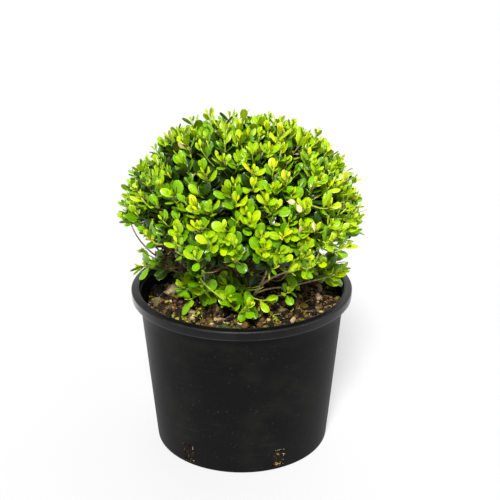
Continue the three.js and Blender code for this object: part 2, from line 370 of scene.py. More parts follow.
def tubes(routes: np.ndarray, radii: np.ndarray, sides: int, relief: float = 0.0,
          seed: float = 0.0) -> Shell:
    """Closed tapering tubes: rings across a route, turned along it without twisting.

    Args:
        routes: the middle lines as (n, k, 3).
        radii: the radius at each place, (n, k) or (k,).
        sides: how many sides a tube has.
        relief: how far bark lifts the surface, as a share of the radius.
        seed: which bark.

    Returns:
        One shell with all of the tubes.
    """
    count, steps = routes.shape[:2]
    radii = np.broadcast_to(radii, (count, steps))
    tangent = unit(np.gradient(routes, axis=1))
    side = np.cross(tangent[:, 0], tangent[:, 0][:, [1, 2, 0]] + [0.1, 0.2, 0.3])
    across = np.zeros_like(routes)
    for step in range(steps):
        side = unit(side - tangent[:, step] * dot(side, tangent[:, step]))
        across[:, step] = side
    other = np.cross(tangent, across)
    angle = np.arange(sides)[:, None] * 2 * math.pi / sides
    spoke = across[:, :, None] * np.cos(angle) + other[:, :, None] * np.sin(angle)
    reach = radii[..., None, None]
    if relief:
        ring = routes[:, :, None] + spoke * reach
        ridges = value_noise(ring * [1, 1, 0.35], 2.2 * MM, seed)
        ridges += 0.6 * value_noise(ring * [1, 1, 0.5], 5 * MM, seed + 1)
        reach = reach * (1 + relief * ridges[..., None])
    return lofted(routes[:, :, None] + spoke * reach)

# ---- Node groups and finishes ----


class Nodes:
    """A short way to build a node tree: nodes by type, values on sockets, and links."""

    def __init__(self, tree: bpy.types.NodeTree) -> None:
        """Keeps the tree, and lays new nodes out from left to right."""
        self.tree = tree
        self.count = 0

    def feed(self, socket: bpy.types.NodeSocket, value: object) -> None:
        """Links an output to a socket, or sets the socket's own value.

        Args:
            socket: the socket that is fed.
            value: an output, or a plain value.
        """
        if isinstance(value, bpy.types.NodeSocket):
            self.tree.links.new(value, socket)
        else:
            socket.default_value = value

    def add(self, kind: str, inputs: Optional[dict] = None, **settings: object) -> bpy.types.Node:
        """Adds a node.

        Args:
            kind: the node's type.
            inputs: what each named or numbered input gets: an output to link, or a value.
            settings: the node's own properties.

        Returns:
            The node.
        """
        node = self.tree.nodes.new(kind)
        node.location = (180 * self.count, 0)
        self.count += 1
        for name, value in settings.items():
            setattr(node, name, value)
        self.fill(node, inputs or {})
        return node

    def fill(self, node: bpy.types.Node, inputs: dict) -> None:
        """Feeds each named or numbered input of a node."""
        for name, value in inputs.items():
            self.feed(node.inputs[name], value)

    def ramp(self, value: object, low: float, high: float, kind: str = "SMOOTHSTEP") -> bpy.types.NodeSocket:
        """A value that goes from 0 to 1 as another goes from low to high, smoothly or evenly."""
        inputs = {"Value": value, "From Min": low, "From Max": high}
        return self.add("ShaderNodeMapRange", inputs, interpolation_type=kind).outputs["Result"]

    def mix(self, share: object, first: object, second: object) -> bpy.types.NodeSocket:
        """A mix of two colours."""
        node = self.add("ShaderNodeMix", {0: share, 6: first, 7: second}, data_type="RGBA")
        return node.outputs[2]

    def math(self, operation: str, first: object, second: object = 0.0) -> bpy.types.NodeSocket:
        """The result of one sum."""
        return self.add("ShaderNodeMath", {0: first, 1: second}, operation=operation).outputs[0]

    def times(self, first: object, second: object) -> bpy.types.NodeSocket:
        """The product of two values."""
        return self.math("MULTIPLY", first, second)

    def noise(self, place: object, scale: object, detail: float) -> bpy.types.NodeSocket:
        """Fractal noise at a scale."""
        inputs = {"Vector": place, "Scale": scale, "Detail": detail, "Roughness": 0.6}
        return self.add("ShaderNodeTexNoise", inputs).outputs["Fac"]

    def place(self) -> bpy.types.NodeSocket:
        """The place on the object, in metres."""
        return self.add("ShaderNodeTexCoord").outputs["Object"]

    def bump(self, height: object, strength: float, distance: float) -> bpy.types.NodeSocket:
        """A normal tilted by a height."""
        inputs = {"Height": height, "Strength": strength, "Distance": distance}
        return self.add("ShaderNodeBump", inputs).outputs["Normal"]


def new_group(name: str, inputs: dict[str, object], outputs: dict[str, str]) -> tuple:
    """An empty node group with named sockets.

    Args:
        name: the group's name.
        inputs: each input's default: a number, or a colour with alpha.
        outputs: each output's kind, Float or Color.

    Returns:
        The group, its builder, its input node and its output node.
    """
    group = bpy.data.node_groups.new(name, "ShaderNodeTree")
    for label, default in inputs.items():
        kind = "Color" if isinstance(default, tuple) else "Float"
        socket = group.interface.new_socket(label, in_out="INPUT", socket_type=f"NodeSocket{kind}")
        socket.default_value = default
    for label, kind in outputs.items():
        group.interface.new_socket(label, in_out="OUTPUT", socket_type=f"NodeSocket{kind}")
    nodes = Nodes(group)
    return group, nodes, nodes.add("NodeGroupInput").outputs, nodes.add("NodeGroupOutput").inputs


def dust_group() -> bpy.types.NodeTree:
    """A colour under dust: soft blotches and fine specks of a second colour.

    Returns:
        The group, with Color and Mask outputs.
    """
    grey = (0.1, 0.1, 0.1, 1.0)
    inputs = {"Color": grey, "Dust": grey, "Blotch Scale": 30.0, "Speck Scale": 400.0,
              "Blotches": 0.2, "Specks": 0.3}
    group, nodes, given, result = new_group("dust_and_specks", inputs, {"Color": "Color", "Mask": "Float"})
    place = nodes.place()
    soft = nodes.ramp(nodes.noise(place, given["Blotch Scale"], 5.0), 0.45, 0.75)
    fine = nodes.ramp(nodes.noise(place, given["Speck Scale"], 2.0), 0.66, 0.74)
    mask = nodes.math("MAXIMUM", nodes.times(soft, given["Blotches"]), nodes.times(fine, given["Specks"]))
    nodes.feed(result["Color"], nodes.mix(mask, given["Color"], given["Dust"]))
    nodes.feed(result["Mask"], mask)
    return group


def mottle_group() -> bpy.types.NodeTree:
    """A colour that wanders to a lighter and a darker one.

    Returns:
        The group, with Color and Value outputs.
    """
    grey = (0.1, 0.1, 0.1, 1.0)
    inputs = {"Color": grey, "Light": grey, "Dark": grey, "Scale": 200.0, "Amount": 0.3}
    group, nodes, given, result = new_group("mottle", inputs, {"Color": "Color", "Value": "Float"})
    noise = nodes.noise(nodes.place(), given["Scale"], 4.0)
    lighter = nodes.times(nodes.ramp(noise, 0.5, 0.72), given["Amount"])
    darker = nodes.times(nodes.ramp(noise, 0.5, 0.28), given["Amount"])
    colour = nodes.mix(lighter, given["Color"], given["Light"])
    nodes.feed(result["Color"], nodes.mix(darker, colour, given["Dark"]))
    nodes.feed(result["Value"], noise)
    return group


DUST = dust_group()
MOTTLE = mottle_group()


def rgba(colour: Sequence[float], factor: float = 1.0) -> tuple:
    """A colour made lighter or darker by a factor, with full alpha."""
    return (*(min(0.95, c * factor) for c in colour), 1.0)


def new_material(name: str, colour: Sequence[float]) -> tuple:
    """A material with a Principled surface.

    Args:
        name: its name.
        colour: its colour in plain views.

    Returns:
        The material, its builder, its Principled node and its output's surface socket.
    """
    material = bpy.data.materials.new(name)
    material.use_nodes = True
    material.diffuse_color = rgba(colour)
    material.node_tree.nodes.clear()
    nodes = Nodes(material.node_tree)
    surface = nodes.add("ShaderNodeOutputMaterial").inputs["Surface"]
    principled = nodes.add("ShaderNodeBsdfPrincipled")
    nodes.feed(surface, principled.outputs["BSDF"])
    return material, nodes, principled, surface


def add_mottle(nodes: Nodes, colour: Sequence[float], light: Sequence[float], scale: float,
               amount: float, dark: float = 0.5) -> bpy.types.Node:
    """Adds the mottle group to a material.

    Args:
        nodes: the material's builder.
        colour: the main colour.
        light: the lighter colour.
        scale: the noise's scale, per metre.
        amount: how strongly it shows.
        dark: the darker colour as a share of the main one.

    Returns:
        The group's node.
    """
    inputs = {"Color": rgba(colour), "Light": rgba(light), "Dark": rgba(colour, dark),
              "Scale": scale, "Amount": amount}
    return nodes.add("ShaderNodeGroup", inputs, node_tree=MOTTLE)


@dataclass(frozen=True)
class LeafFinish:
    """One side of a leaf: waxy, with a paler midrib and margin, and darker towards its stalk by painted
    shade.
    """

    name: str
    colour: tuple
    roughness: float = 0.28
    glow: float = 0.11
    rib: float = 0.42
    gloss: float = 0.36

    def material(self) -> bpy.types.Material:
        """A Principled surface that lets some light through from behind.

        Returns:
            The material.
        """
        material, nodes, principled, surface = new_material(self.name, self.colour)
        light = rgba(self.colour, 1.35)[:3]
        mottle = add_mottle(nodes, self.colour, light, 240.0, 0.7, 0.68)
        uv = nodes.add("ShaderNodeUVMap", uv_map="surface").outputs["UV"]
        split = nodes.add("ShaderNodeSeparateXYZ", {"Vector": uv}).outputs
        off = nodes.math("ABSOLUTE", nodes.math("SUBTRACT", split["Y"], 0.5))
        rib = nodes.times(nodes.ramp(off, 0.075, 0.0), self.rib)
        margin = nodes.times(nodes.ramp(off, 0.36, 0.49), 0.9 * self.rib)
        # Painted shade: the colour darkens towards the stalk.
        stalk = nodes.times(nodes.ramp(split["X"], 0.5, 0.0), 0.55)
        colour = nodes.mix(stalk, mottle.outputs["Color"], rgba(self.colour, 0.45))
        colour = nodes.mix(nodes.math("MAXIMUM", rib, margin), colour, rgba(self.colour, 1.8))
        slant = nodes.math("SUBTRACT", split["X"], nodes.times(off, 0.9))
        veins = nodes.math("SINE", nodes.times(slant, 62.0))
        height = nodes.math("SUBTRACT", nodes.times(veins, 0.12), nodes.times(rib, 2.0))
        nodes.fill(principled, {
            "Base Color": colour, "Normal": nodes.bump(height, 0.25, 0.4 * MM),
            "Roughness": self.roughness, "Specular IOR Level": self.gloss,
        })
        behind = nodes.add("ShaderNodeBsdfTranslucent", {"Color": rgba(self.colour, 1.25)})
        shaders = {0: self.glow, 1: principled.outputs["BSDF"], 2: behind.outputs["BSDF"]}
        nodes.feed(surface, nodes.add("ShaderNodeMixShader", shaders).outputs["Shader"])
        return material


@dataclass(frozen=True)
class WoodFinish:
    """Bark or a young shoot: mottled, with fine cracks."""

    name: str
    colour: tuple
    light: tuple
    roughness: float = 0.75
    amount: float = 0.8
    scale: float = 420.0
    relief: float = 0.5

    def material(self) -> bpy.types.Material:
        """The wood material.

        Returns:
            The material.
        """
        material, nodes, principled, _ = new_material(self.name, self.colour)
        mottle = add_mottle(nodes, self.colour, self.light, self.scale, self.amount, 0.4)
        nodes.fill(principled, {
            "Base Color": mottle.outputs["Color"], "Roughness": self.roughness,
            "Normal": nodes.bump(mottle.outputs["Value"], self.relief, 0.6 * MM),
        })
        return material


@dataclass(frozen=True)
class PlasticFinish:
    """Moulded black plastic: fine grain, dust in blotches, pale specks and dull scuffs."""

    name: str
    colour: tuple
    dust: tuple
    roughness: float = 0.5
    blotches: float = 0.12
    specks: float = 0.35
    gloss: float = 0.08
    haze: float = 0.0

    def material(self) -> bpy.types.Material:
        """The plastic material.

        Returns:
            The material.
        """
        material, nodes, principled, _ = new_material(self.name, self.colour)
        inputs = {"Color": rgba(self.colour), "Dust": rgba(self.dust), "Blotch Scale": 22.0,
                  "Speck Scale": 330.0, "Blotches": self.blotches, "Specks": self.specks}
        dust = nodes.add("ShaderNodeGroup", inputs, node_tree=DUST)
        place = nodes.place()
        flat = nodes.add("ShaderNodeMapping", {"Vector": place, "Scale": (6.0, 6.0, 90.0)})
        rubbed = nodes.times(nodes.ramp(nodes.noise(flat.outputs["Vector"], 3.0, 6.0), 0.56, 0.8), 0.16)
        nodes.fill(principled, {
            "Base Color": nodes.mix(rubbed, dust.outputs["Color"], rgba(self.dust)),
            "Roughness": nodes.math("ADD", nodes.times(dust.outputs["Mask"], 0.35), self.roughness),
            "Normal": nodes.bump(nodes.noise(place, 1400.0, 3.0), 0.18, 0.4 * MM),
            "Specular IOR Level": self.gloss, "Sheen Weight": self.haze, "Sheen Roughness": 0.3,
        })
        return material


@dataclass(frozen=True)
class CrumbFinish:
    """Compost, bark chips and lumps: rough, mottled at a crumb's scale, with pale grit."""

    name: str
    colour: tuple
    light: tuple
    roughness: float = 0.92
    scale: float = 500.0

    def material(self) -> bpy.types.Material:
        """The crumb material.

        Returns:
            The material.
        """
        material, nodes, principled, _ = new_material(self.name, self.colour)
        mottle = add_mottle(nodes, self.colour, self.light, self.scale, 0.9, 0.3)
        inputs = {"Color": mottle.outputs["Color"], "Dust": rgba(self.light), "Blotch Scale": 160.0,
                  "Speck Scale": 900.0}
        dust = nodes.add("ShaderNodeGroup", inputs, node_tree=DUST)
        nodes.fill(principled, {
            "Base Color": dust.outputs["Color"], "Normal": nodes.bump(mottle.outputs["Value"], 0.8, MM),
            "Roughness": self.roughness, "Specular IOR Level": 0.25,
        })
        return material

# ---- Pot and compost ----


class PotFace(IntEnum):
    """Which of the pot's finishes a face has."""

    WALL = 0
    LIP = 1
    SLOT_SIDE = 2
    # Painted highlight lines on the lip's top and lower outer edges.
    WORN_EDGE = 3
    DULL_EDGE = 4


@dataclass
class Pot:
    """The round nursery pot: a tapering wall, a rolled lip, and drainage slots round its foot."""

    height: float = 195 * MM
    rim_radius: float = 130 * MM
    mouth_radius: float = 120.5 * MM
    shoulder_radius: float = 120.5 * MM
    foot_radius: float = 104 * MM
    foot_round: float = 1.4 * MM
    wall: float = 2.2 * MM
    floor: float = 3 * MM
    lip_depth: float = 12 * MM
    bead_depth: float = 4 * MM
    hub: float = 60 * MM
    slots: int = 6
    slot_columns: int = 3
    slot_low: float = 4 * MM
    slot_middle: float = 15 * MM
    slot_high: float = 27 * MM
    slot_edge: float = 2 * MM
    slot_turn: float = -36.0
    columns: int = 144
    hair: float = 1e-6
    sharp: float = 38.0
    finishes: tuple = (
        PlasticFinish("pot_wall", (0.0034, 0.0034, 0.0034), (0.042, 0.040, 0.036), 0.5, 0.12, 0.6, 0.07),
        PlasticFinish("pot_lip", (0.0016, 0.0016, 0.0019), (0.026, 0.025, 0.025), 0.36, 0.12, 0.7, 0.25,
                      0.12),
        PlasticFinish("pot_slot_edge", (0.009, 0.006, 0.003), (0.09, 0.066, 0.03), 0.8, 0.4, 0.6),
        # The two edge finishes are lighter than the lip: painted highlight lines on its top and lower outer
        # edges. Their gloss and sheen are real.
        PlasticFinish("pot_top_edge_painted_highlight", (0.008, 0.008, 0.008), (0.042, 0.040, 0.037), 0.38, 0.4, 0.8,
                      0.19, 0.15),
        PlasticFinish("pot_low_edge_painted_highlight", (0.010, 0.010, 0.010), (0.055, 0.053, 0.05), 0.40, 0.5, 0.6,
                      0.22, 0.15),
    )

    def wall_radius(self, height: np.ndarray) -> np.ndarray:
        """The outside of the wall at a height, on a straight taper."""
        share = np.asarray(height) / (self.height - self.lip_depth)
        return self.foot_radius + (self.shoulder_radius - self.foot_radius) * share

    def slot_heights(self) -> np.ndarray:
        """The levels of the rings that a slot is cut between."""
        return np.array([self.slot_low, self.slot_low + self.slot_edge, self.slot_middle,
                         self.slot_high - self.slot_edge, self.slot_high])

    def profile(self) -> np.ndarray:
        """The half section: underside, wall, bead, lip, roll, inner wall and floor.

        Returns:
            Pairs of radius and height that run up the outside and down the inside.
        """
        lip_bottom = self.height - self.lip_depth
        bead = lip_bottom - self.bead_depth
        angle = np.linspace(0, math.pi / 2, 5)
        corner = np.stack([self.foot_radius - self.foot_round * (1 - np.sin(angle)),
                           self.foot_round * (1 - np.cos(angle))], -1)
        levels = np.concatenate([self.slot_heights(), np.linspace(40 * MM, bead, 9)])
        outside = np.stack([self.wall_radius(levels), levels], -1)
        step = [(self.wall_radius(bead) + 0.9 * MM, bead + 1 * MM),
                (self.shoulder_radius + 1 * MM, lip_bottom - 0.4 * MM)]
        rim, mouth, top = self.rim_radius, self.mouth_radius, self.height
        lip = np.array([(-1.5, 0), (-0.6, 0.25), (-0.3, 1.1), (-0.2, 2.2)]) * MM + [rim, lip_bottom]
        crest = np.array([(0, -2.9), (-0.1, -2.1), (-0.6, -1.45), (-1.6, -1.1), (-5, -0.25),
                          (-6.6, 0)]) * MM + [rim, top]
        inner = np.array([(1.6, -0.15), (0.5, -0.8), (0, -2.2), (0.2, -6)]) * MM + [mouth, top]
        levels = np.concatenate([[lip_bottom + 4 * MM, lip_bottom, 120 * MM, 60 * MM],
                                 self.slot_heights()[::-1]])
        inside = np.stack([self.wall_radius(levels) - self.wall, levels], -1)
        bottom = [(self.foot_radius - self.wall, self.floor), (self.hub, self.floor)]
        return np.concatenate([[(self.hub, 0)], corner, outside, step, lip, crest, inner, inside, bottom])

    def shell(self) -> Shell:
        """The pot as one surface of revolution, opened at each slot.

        A place is (r sin a, -r cos a, z) for the profile's r and z. The faces of a slot are left
        out of both walls, and its four sides join the two walls.

        Returns:
            The shell, with the finish of each face.
        """
        profile = self.profile()
        rows, columns = len(profile), self.columns
        pitch = 360 / columns
        turn = self.slot_turn + pitch * (np.arange(columns) - self.slot_columns / 2)
        rings = around(turn[None, :], profile[:, :1], profile[:, 1:])
        shell = lofted(rings[None])
        row, column = np.divmod(np.arange((rows - 1) * columns), columns)
        low = np.minimum(profile[row, 1], profile[row + 1, 1])
        high = np.maximum(profile[row, 1], profile[row + 1, 1])
        across = column % (columns // self.slots) < self.slot_columns
        opened = across & (low >= self.slot_low - self.hair) & (high <= self.slot_high + self.hair)
        lip_bottom = self.height - self.lip_depth
        lip = low >= lip_bottom - self.hair
        outer = profile[row, 0] > self.shoulder_radius + 6 * MM
        top_highlight_band = (low >= self.height - 3 * MM) & (high <= self.height - 1 * MM)
        walls = shell.slots[: len(row)]
        walls[lip & (profile[row, 0] > self.mouth_radius + MM)] = PotFace.LIP
        # Painted highlight: a lighter finish on a band at the lip's top outer edge, and a dimmer one at its
        # lower edge.
        walls[outer & top_highlight_band] = PotFace.WORN_EDGE
        walls[outer & lip & (high <= lip_bottom + 1.2 * MM)] = PotFace.DULL_EDGE
        kept = np.concatenate([~opened, np.ones(2 * columns, bool)])
        sides = self.slot_sides(profile)
        faces = np.concatenate([shell.faces[kept], sides])
        slots = np.concatenate([shell.slots[kept], np.full(len(sides), int(PotFace.SLOT_SIDE))])
        return Shell(shell.vertices, faces, slots)

    def slot_sides(self, profile: np.ndarray) -> np.ndarray:
        """The four sides of each slot, from the outer wall to the inner one.

        Args:
            profile: the half section.

        Returns:
            The faces.
        """
        levels = len(self.slot_heights())
        level = profile[:, 1]
        at = np.flatnonzero((level > self.slot_low - self.hair) & (level < self.slot_high + self.hair))
        outer, inner = at[:levels] * self.columns, at[levels:][::-1] * self.columns
        left = np.arange(self.slots)[:, None] * (self.columns // self.slots)
        right = left + self.slot_columns
        o, p, q, r = outer[:-1], outer[1:], inner[1:], inner[:-1]
        jambs = [np.stack([o + left, p + left, q + left, r + left], -1),
                 np.stack([o + right, r + right, q + right, p + right], -1)]
        column = left + np.arange(self.slot_columns)
        o, r = outer[0], inner[0]
        sill = np.stack([o + column, r + column, r + column + 1, o + column + 1], -1)
        o, r = outer[-1], inner[-1]
        head = np.stack([o + column, o + column + 1, r + column + 1, r + column], -1)
        return np.concatenate([faces.reshape(-1, 4) for faces in (*jambs, sill, head)])

    def build(self) -> None:
        """Makes the pot, in the finishes that PotFace names."""
        materials = [finish.material() for finish in self.finishes]
        piece = add_piece("pot_body", self.shell(), materials, ["pot"])
        piece.data.set_sharp_from_angle(angle=math.radians(self.sharp))


POT = Pot()


@dataclass
class Crumb:
    """One kind of crumb on the compost: its finish, number, sizes in mm, flatness and seed."""

    finish: CrumbFinish
    count: int
    smallest: float
    largest: float
    flatness: float
    seed: int


@dataclass
class Lumps:
    """Large lumps of one finish, each at its turn in degrees, with its reach and its radius in mm."""

    finish: CrumbFinish
    places: tuple


def add_crumbs(name: str, shell: Shell, finish: CrumbFinish) -> None:
    """Adds loose crumbs of one finish."""
    add_piece(name, shell, [finish.material()])


@dataclass
class Compost:
    """The compost's mounded, crumbly top, with bark chips, lumps, grit and bits of root on it."""

    radius: float = 117.5 * MM
    base: float = 3.4 * MM
    edge: float = 178 * MM
    middle: float = 188 * MM
    rings: int = 90
    columns: int = 240
    root_bits: int = 330
    root_seed: int = 9
    hollows: tuple = ((-98, 113, 21, 20), (-122, 114, 18, 16), (-82, 115, 15, 14), (96, 116, 13, 9))
    soil: CrumbFinish = CrumbFinish("soil", (0.011, 0.007, 0.003), (0.06, 0.036, 0.014), scale=330.0)
    crumbs: tuple = (
        Crumb(CrumbFinish("chip_black", (0.010, 0.006, 0.003), (0.042, 0.026, 0.012)), 1000, 3.0, 8.0,
              0.5, 1),
        Crumb(CrumbFinish("chip_brown", (0.080, 0.039, 0.009), (0.31, 0.182, 0.054)), 700, 2.2, 9.0, 0.6, 2),
        Crumb(CrumbFinish("chip_red", (0.12, 0.05, 0.024), (0.31, 0.16, 0.085)), 130, 2.0, 6.5, 0.4, 3),
        Crumb(CrumbFinish("chip_tan", (0.45, 0.31, 0.10), (0.76, 0.60, 0.27)), 230, 1.6, 7.0, 0.45, 4),
        Crumb(CrumbFinish("grit_pale", (0.50, 0.40, 0.26), (0.78, 0.68, 0.50)), 60, 1.0, 3.2, 0.8, 5),
        Crumb(CrumbFinish("moss", (0.11, 0.088, 0.008), (0.31, 0.26, 0.03)), 430, 2.2, 8.0, 0.6, 6),
        Crumb(CrumbFinish("moss_light", (0.30, 0.255, 0.02), (0.54, 0.46, 0.06)), 90, 1.6, 6.0, 0.55, 7),
    )
    lumps: tuple = (
        Lumps(CrumbFinish("lumps_tan", (0.42, 0.29, 0.15), (0.68, 0.54, 0.34), 0.92, 260.0),
              ((-108, 96, 4.5), (101, 94, 5.5), (79, 92, 5.5), (37, 96, 5.0), (-45, 84, 5.0), (20, 100, 3.5),
               (150, 90, 5.5), (176, 70, 5.5), (205, 92, 6.0), (-140, 84, 6.0))),
        Lumps(CrumbFinish("lumps_olive", (0.11, 0.09, 0.03), (0.27, 0.23, 0.09), 0.92, 260.0),
              ((-84, 99, 7.5), (-96, 104, 6.0), (39, 72, 5.5), (52, 83, 4.5), (64, 97, 5.0), (-62, 92, 4.5),
               (128, 98, 5.5), (-160, 96, 5.0))),
        Lumps(CrumbFinish("lumps_pink", (0.40, 0.26, 0.15), (0.70, 0.52, 0.35), 0.92, 300.0),
              ((-30, 60, 6.0), (-42, 86, 7.0), (-37, 90, 5.0), (-26, 66, 5.5), (76, 92, 6.0), (94, 93, 6.0),
               (-20, 96, 4.0), (190, 100, 5.0))),
        # Painted light: a lighter copy of the tan lumps, for one lump in the shadow of the left spray.
        Lumps(CrumbFinish("lumps_tan_painted_light", (0.62, 0.47, 0.25), (0.88, 0.74, 0.48), 0.92, 260.0),
              ((-90, 82, 10.5),)),
        Lumps(CrumbFinish("lumps_moss", (0.045, 0.058, 0.02), (0.125, 0.15, 0.065), 0.92, 330.0),
              ((-15, 102, 7.0), (-8, 105, 8.0), (-2, 104, 6.5), (-11, 96, 6.5))),
    )
    per_slot: int = 44
    rags_per_slot: int = 22
    # Painted shade: the compost in the slots is much darker than the bed, as if in shadow inside them.
    slot_soil_painted_shade: CrumbFinish = CrumbFinish("slot_compost_painted_shade", (0.004, 0.002, 0.001), (0.022, 0.010, 0.003),
                                         0.9, 600.0)
    slot_fibres: CrumbFinish = CrumbFinish("slot_fibres", (0.22, 0.12, 0.03), (0.42, 0.28, 0.09), 0.9, 600.0)
    slot_rags: CrumbFinish = CrumbFinish("slot_flash", (0.30, 0.25, 0.13), (0.62, 0.56, 0.36), 0.7, 700.0)

    def sunk(self, place: np.ndarray) -> np.ndarray:
        """How far the surface has sunk at places: a few hollows at the wall, each a bell.

        Args:
            place: the places.

        Returns:
            A depth for each.
        """
        depth = np.zeros(place.shape[:-1])
        for turn, reach, spread, drop in self.hollows:
            away = np.linalg.norm((place - around(turn, reach * MM, 0.0))[..., :2], axis=-1)
            depth += drop * MM * np.exp(-((away / (spread * MM)) ** 2))
        return depth

    def height(self, place: np.ndarray) -> np.ndarray:
        """The surface's height: the mound, with crumbs at three sizes of noise.

        The mound falls from the middle to the edge by 3t^2 - 2t^3.

        Args:
            place: places, of which only x and y count.

        Returns:
            A height for each.
        """
        radius = np.hypot(place[..., 0], place[..., 1])
        t = np.clip((radius / POT.mouth_radius - 0.12) / 0.83, 0, 1)
        mound = self.middle + (self.edge - self.middle) * t * t * (3 - 2 * t) - self.sunk(place)
        flat = place * [1, 1, 0]
        crumbs = 2.4 * value_noise(flat, 15 * MM, 41) + 2.4 * np.abs(value_noise(flat, 7 * MM, 42))
        return mound + (crumbs + 1.4 * value_noise(flat, 2.8 * MM, 43)) * MM

    def bed(self) -> Shell:
        """The bed: rings up the side of the root ball from the pot's floor, then over the top.

        Returns:
            The bed's shell.
        """
        turn = np.linspace(0, 360, self.columns, endpoint=False)[None, :]
        level = np.concatenate([np.linspace(self.base, 30 * MM, 12), np.array([60, 110, 150]) * MM])[:, None]
        side = around(turn, POT.wall_radius(level) - POT.wall - 0.7 * MM, level)
        side *= [1, 1, 1] - 0.012 * np.abs(value_noise(side, 3.5 * MM, 44))[..., None] * [1, 1, 0]
        share = np.linspace(1, 0.004, self.rings)[:, None]
        top = around(turn, self.radius * share, 0.0)
        top[..., 2] = self.height(top)
        return lofted(np.concatenate([side, top])[None])

    def add_slot_crumbs(self) -> None:
        """Adds crumbs and fibres that fill each drainage slot of the pot and hang at its edges."""
        index = np.arange(POT.slots * self.per_slot)
        key = index + Key.SLOT_CRUMBS
        turn = POT.slot_turn + 360 / POT.slots * (index // self.per_slot) + 2.6 * sway(key, 1)
        share = sway(key, 2) - 0.35 * chance(key, 6)
        half = (POT.slot_high - POT.slot_low) / 2 - 1.5 * MM
        level = (POT.slot_low + POT.slot_high) / 2 + half * np.clip(share, -1, 1)
        place = around(turn, POT.wall_radius(level) - (2.0 + 2.0 * chance(key, 3)) * MM, level)
        size = (1.0 + 2.0 * chance(key, 4) ** 2) * MM
        light = chance(key, 5) < np.where(share < -0.45, 0.45, 0.03)
        for name, finish, which, flatness in (("slot_crumbs", self.slot_soil_painted_shade, ~light, 0.7),
                                              ("slot_fibres", self.slot_fibres, light, 0.35)):
            add_crumbs(name, self.lump(place[which], size[which], key[which], flatness), finish)

    def add_slot_flash(self) -> None:
        """Adds the pale rags of plastic that the slots' rough cut left along their edges."""
        index = np.arange(POT.slots * self.rags_per_slot)
        key = index + Key.SLOT_RAGS
        slot = index // self.rags_per_slot
        half_turn = 180 / POT.columns * POT.slot_columns
        side = np.where(chance(key, 1) < 0.5, -1.0, 1.0)
        upright = chance(key, 2) < 0.62
        share = sway(key, 3)
        low, high = POT.slot_low, POT.slot_high
        level = np.where(upright, (low + high) / 2 + share * (high - low) / 2,
                         np.where(side < 0, low, high))
        turn = POT.slot_turn + 360 / POT.slots * slot + half_turn * np.where(upright, side, share)
        place = around(turn, POT.wall_radius(level) - 0.5 * MM, level)
        ragged = (side > 0) & (chance(key, 5) < 0.6 + 0.4 * sway(slot, 4))
        size = np.where(ragged, 0.7 + 0.8 * chance(key, 4), 0.3) * MM
        add_crumbs("slot_flash", self.lump(place, size, key, 0.5), self.slot_rags)

    def lump(self, place: np.ndarray, size: np.ndarray, key: np.ndarray, flatness: float) -> Shell:
        """Rough closed lumps: rings of a ball, squashed, turned and dented by noise.

        Args:
            place: their middles, (n, 3).
            size: their radii, (n,).
            key: a key for each.
            flatness: their height as a share of their length.

        Returns:
            One shell.
        """
        steep = np.radians([-62, -25, 15, 55])[:, None]
        turn = np.arange(7) * 2 * math.pi / 7
        ball = np.stack(np.broadcast_arrays(np.cos(steep) * np.cos(turn), np.cos(steep) * np.sin(turn),
                                            np.sin(steep)), -1)
        first = unit(swayed(key, 1) + [0.6, 0.2, 0])
        third = unit(UP + 0.6 * swayed(key, 2))
        second = unit(np.cross(third, first))
        first = np.cross(second, third)
        width = 0.38 + 0.5 * chance(key, 5)
        axes = np.stack([first, second * width[:, None], third * flatness], 1) * size[:, None, None]
        points = np.einsum("rcj,njk->nrck", ball, axes)
        dents = 0.42 * value_noise(ball + key[:, None, None, None] * 3.7, 0.8, 7)
        return lofted(place[:, None, None] + points * (1 + dents[..., None]))

    def scattered(self, count: int, seed: int) -> tuple[np.ndarray, np.ndarray]:
        """Places spread over the bed, on its surface.

        Args:
            count: how many.
            seed: which spread.

        Returns:
            A key for each, and the places.
        """
        key = np.arange(count) + 1000.0 * seed
        radius = (self.radius - 4 * MM) * np.sqrt(chance(key, 11) * 0.98 + 0.02)
        place = around(360 * chance(key, 12), radius, 0.0)
        place[:, 2] = self.height(place)
        return key, place

    def add_lumps(self, lumps: Lumps) -> None:
        """Adds large lumps, each sunk by nearly half into the bed.

        Args:
            lumps: the lumps of one finish.
        """
        turn, reach, radius = np.array(lumps.places, float).T
        place = around(turn, reach * MM, 0.0)
        place[:, 2] = self.height(place) + 0.55 * radius * MM
        add_crumbs(lumps.finish.name, self.lump(place, radius * MM, turn + Key.LUMPS, 0.72), lumps.finish)

    def add_root_bits(self) -> None:
        """Adds thin dry bits of root and twig that lie about, each a shallow curve."""
        key, place = self.scattered(self.root_bits, self.root_seed)
        way = unit(swayed(key, 31) * [1, 1, 0.25]) * (3 + 11 * chance(key, 32)[:, None] ** 2) * MM
        lift = np.array([0, 0, 0.8]) * MM
        bend = place + 0.35 * np.cross(way, UP) * sway(key, 33)[:, None] + 1.5 * lift
        points = [place - way + lift, bend, place + way + lift]
        radii = np.linspace(0.75, 0.4, 6) * MM
        finish = WoodFinish("root_bits", (0.24, 0.16, 0.08), (0.5, 0.4, 0.24), 0.9, 0.9, 700.0)
        add_piece("root_bits", tubes(bezier(points, np.linspace(0, 1, 6)), radii, 5),
                  [finish.material()])

    def build(self) -> None:
        """Makes the bed, the crumbs of each kind, the lumps, the bits of root and what fills the slots.

        Chips of the first kind lie everywhere. The others keep out of the deepest hollows, so that only black
        chips darken them: painted shade.
        """
        add_piece("compost_bed", self.bed(), [self.soil.material()], ["compost"])
        for crumb in self.crumbs:
            key, place = self.scattered(crumb.count, crumb.seed)
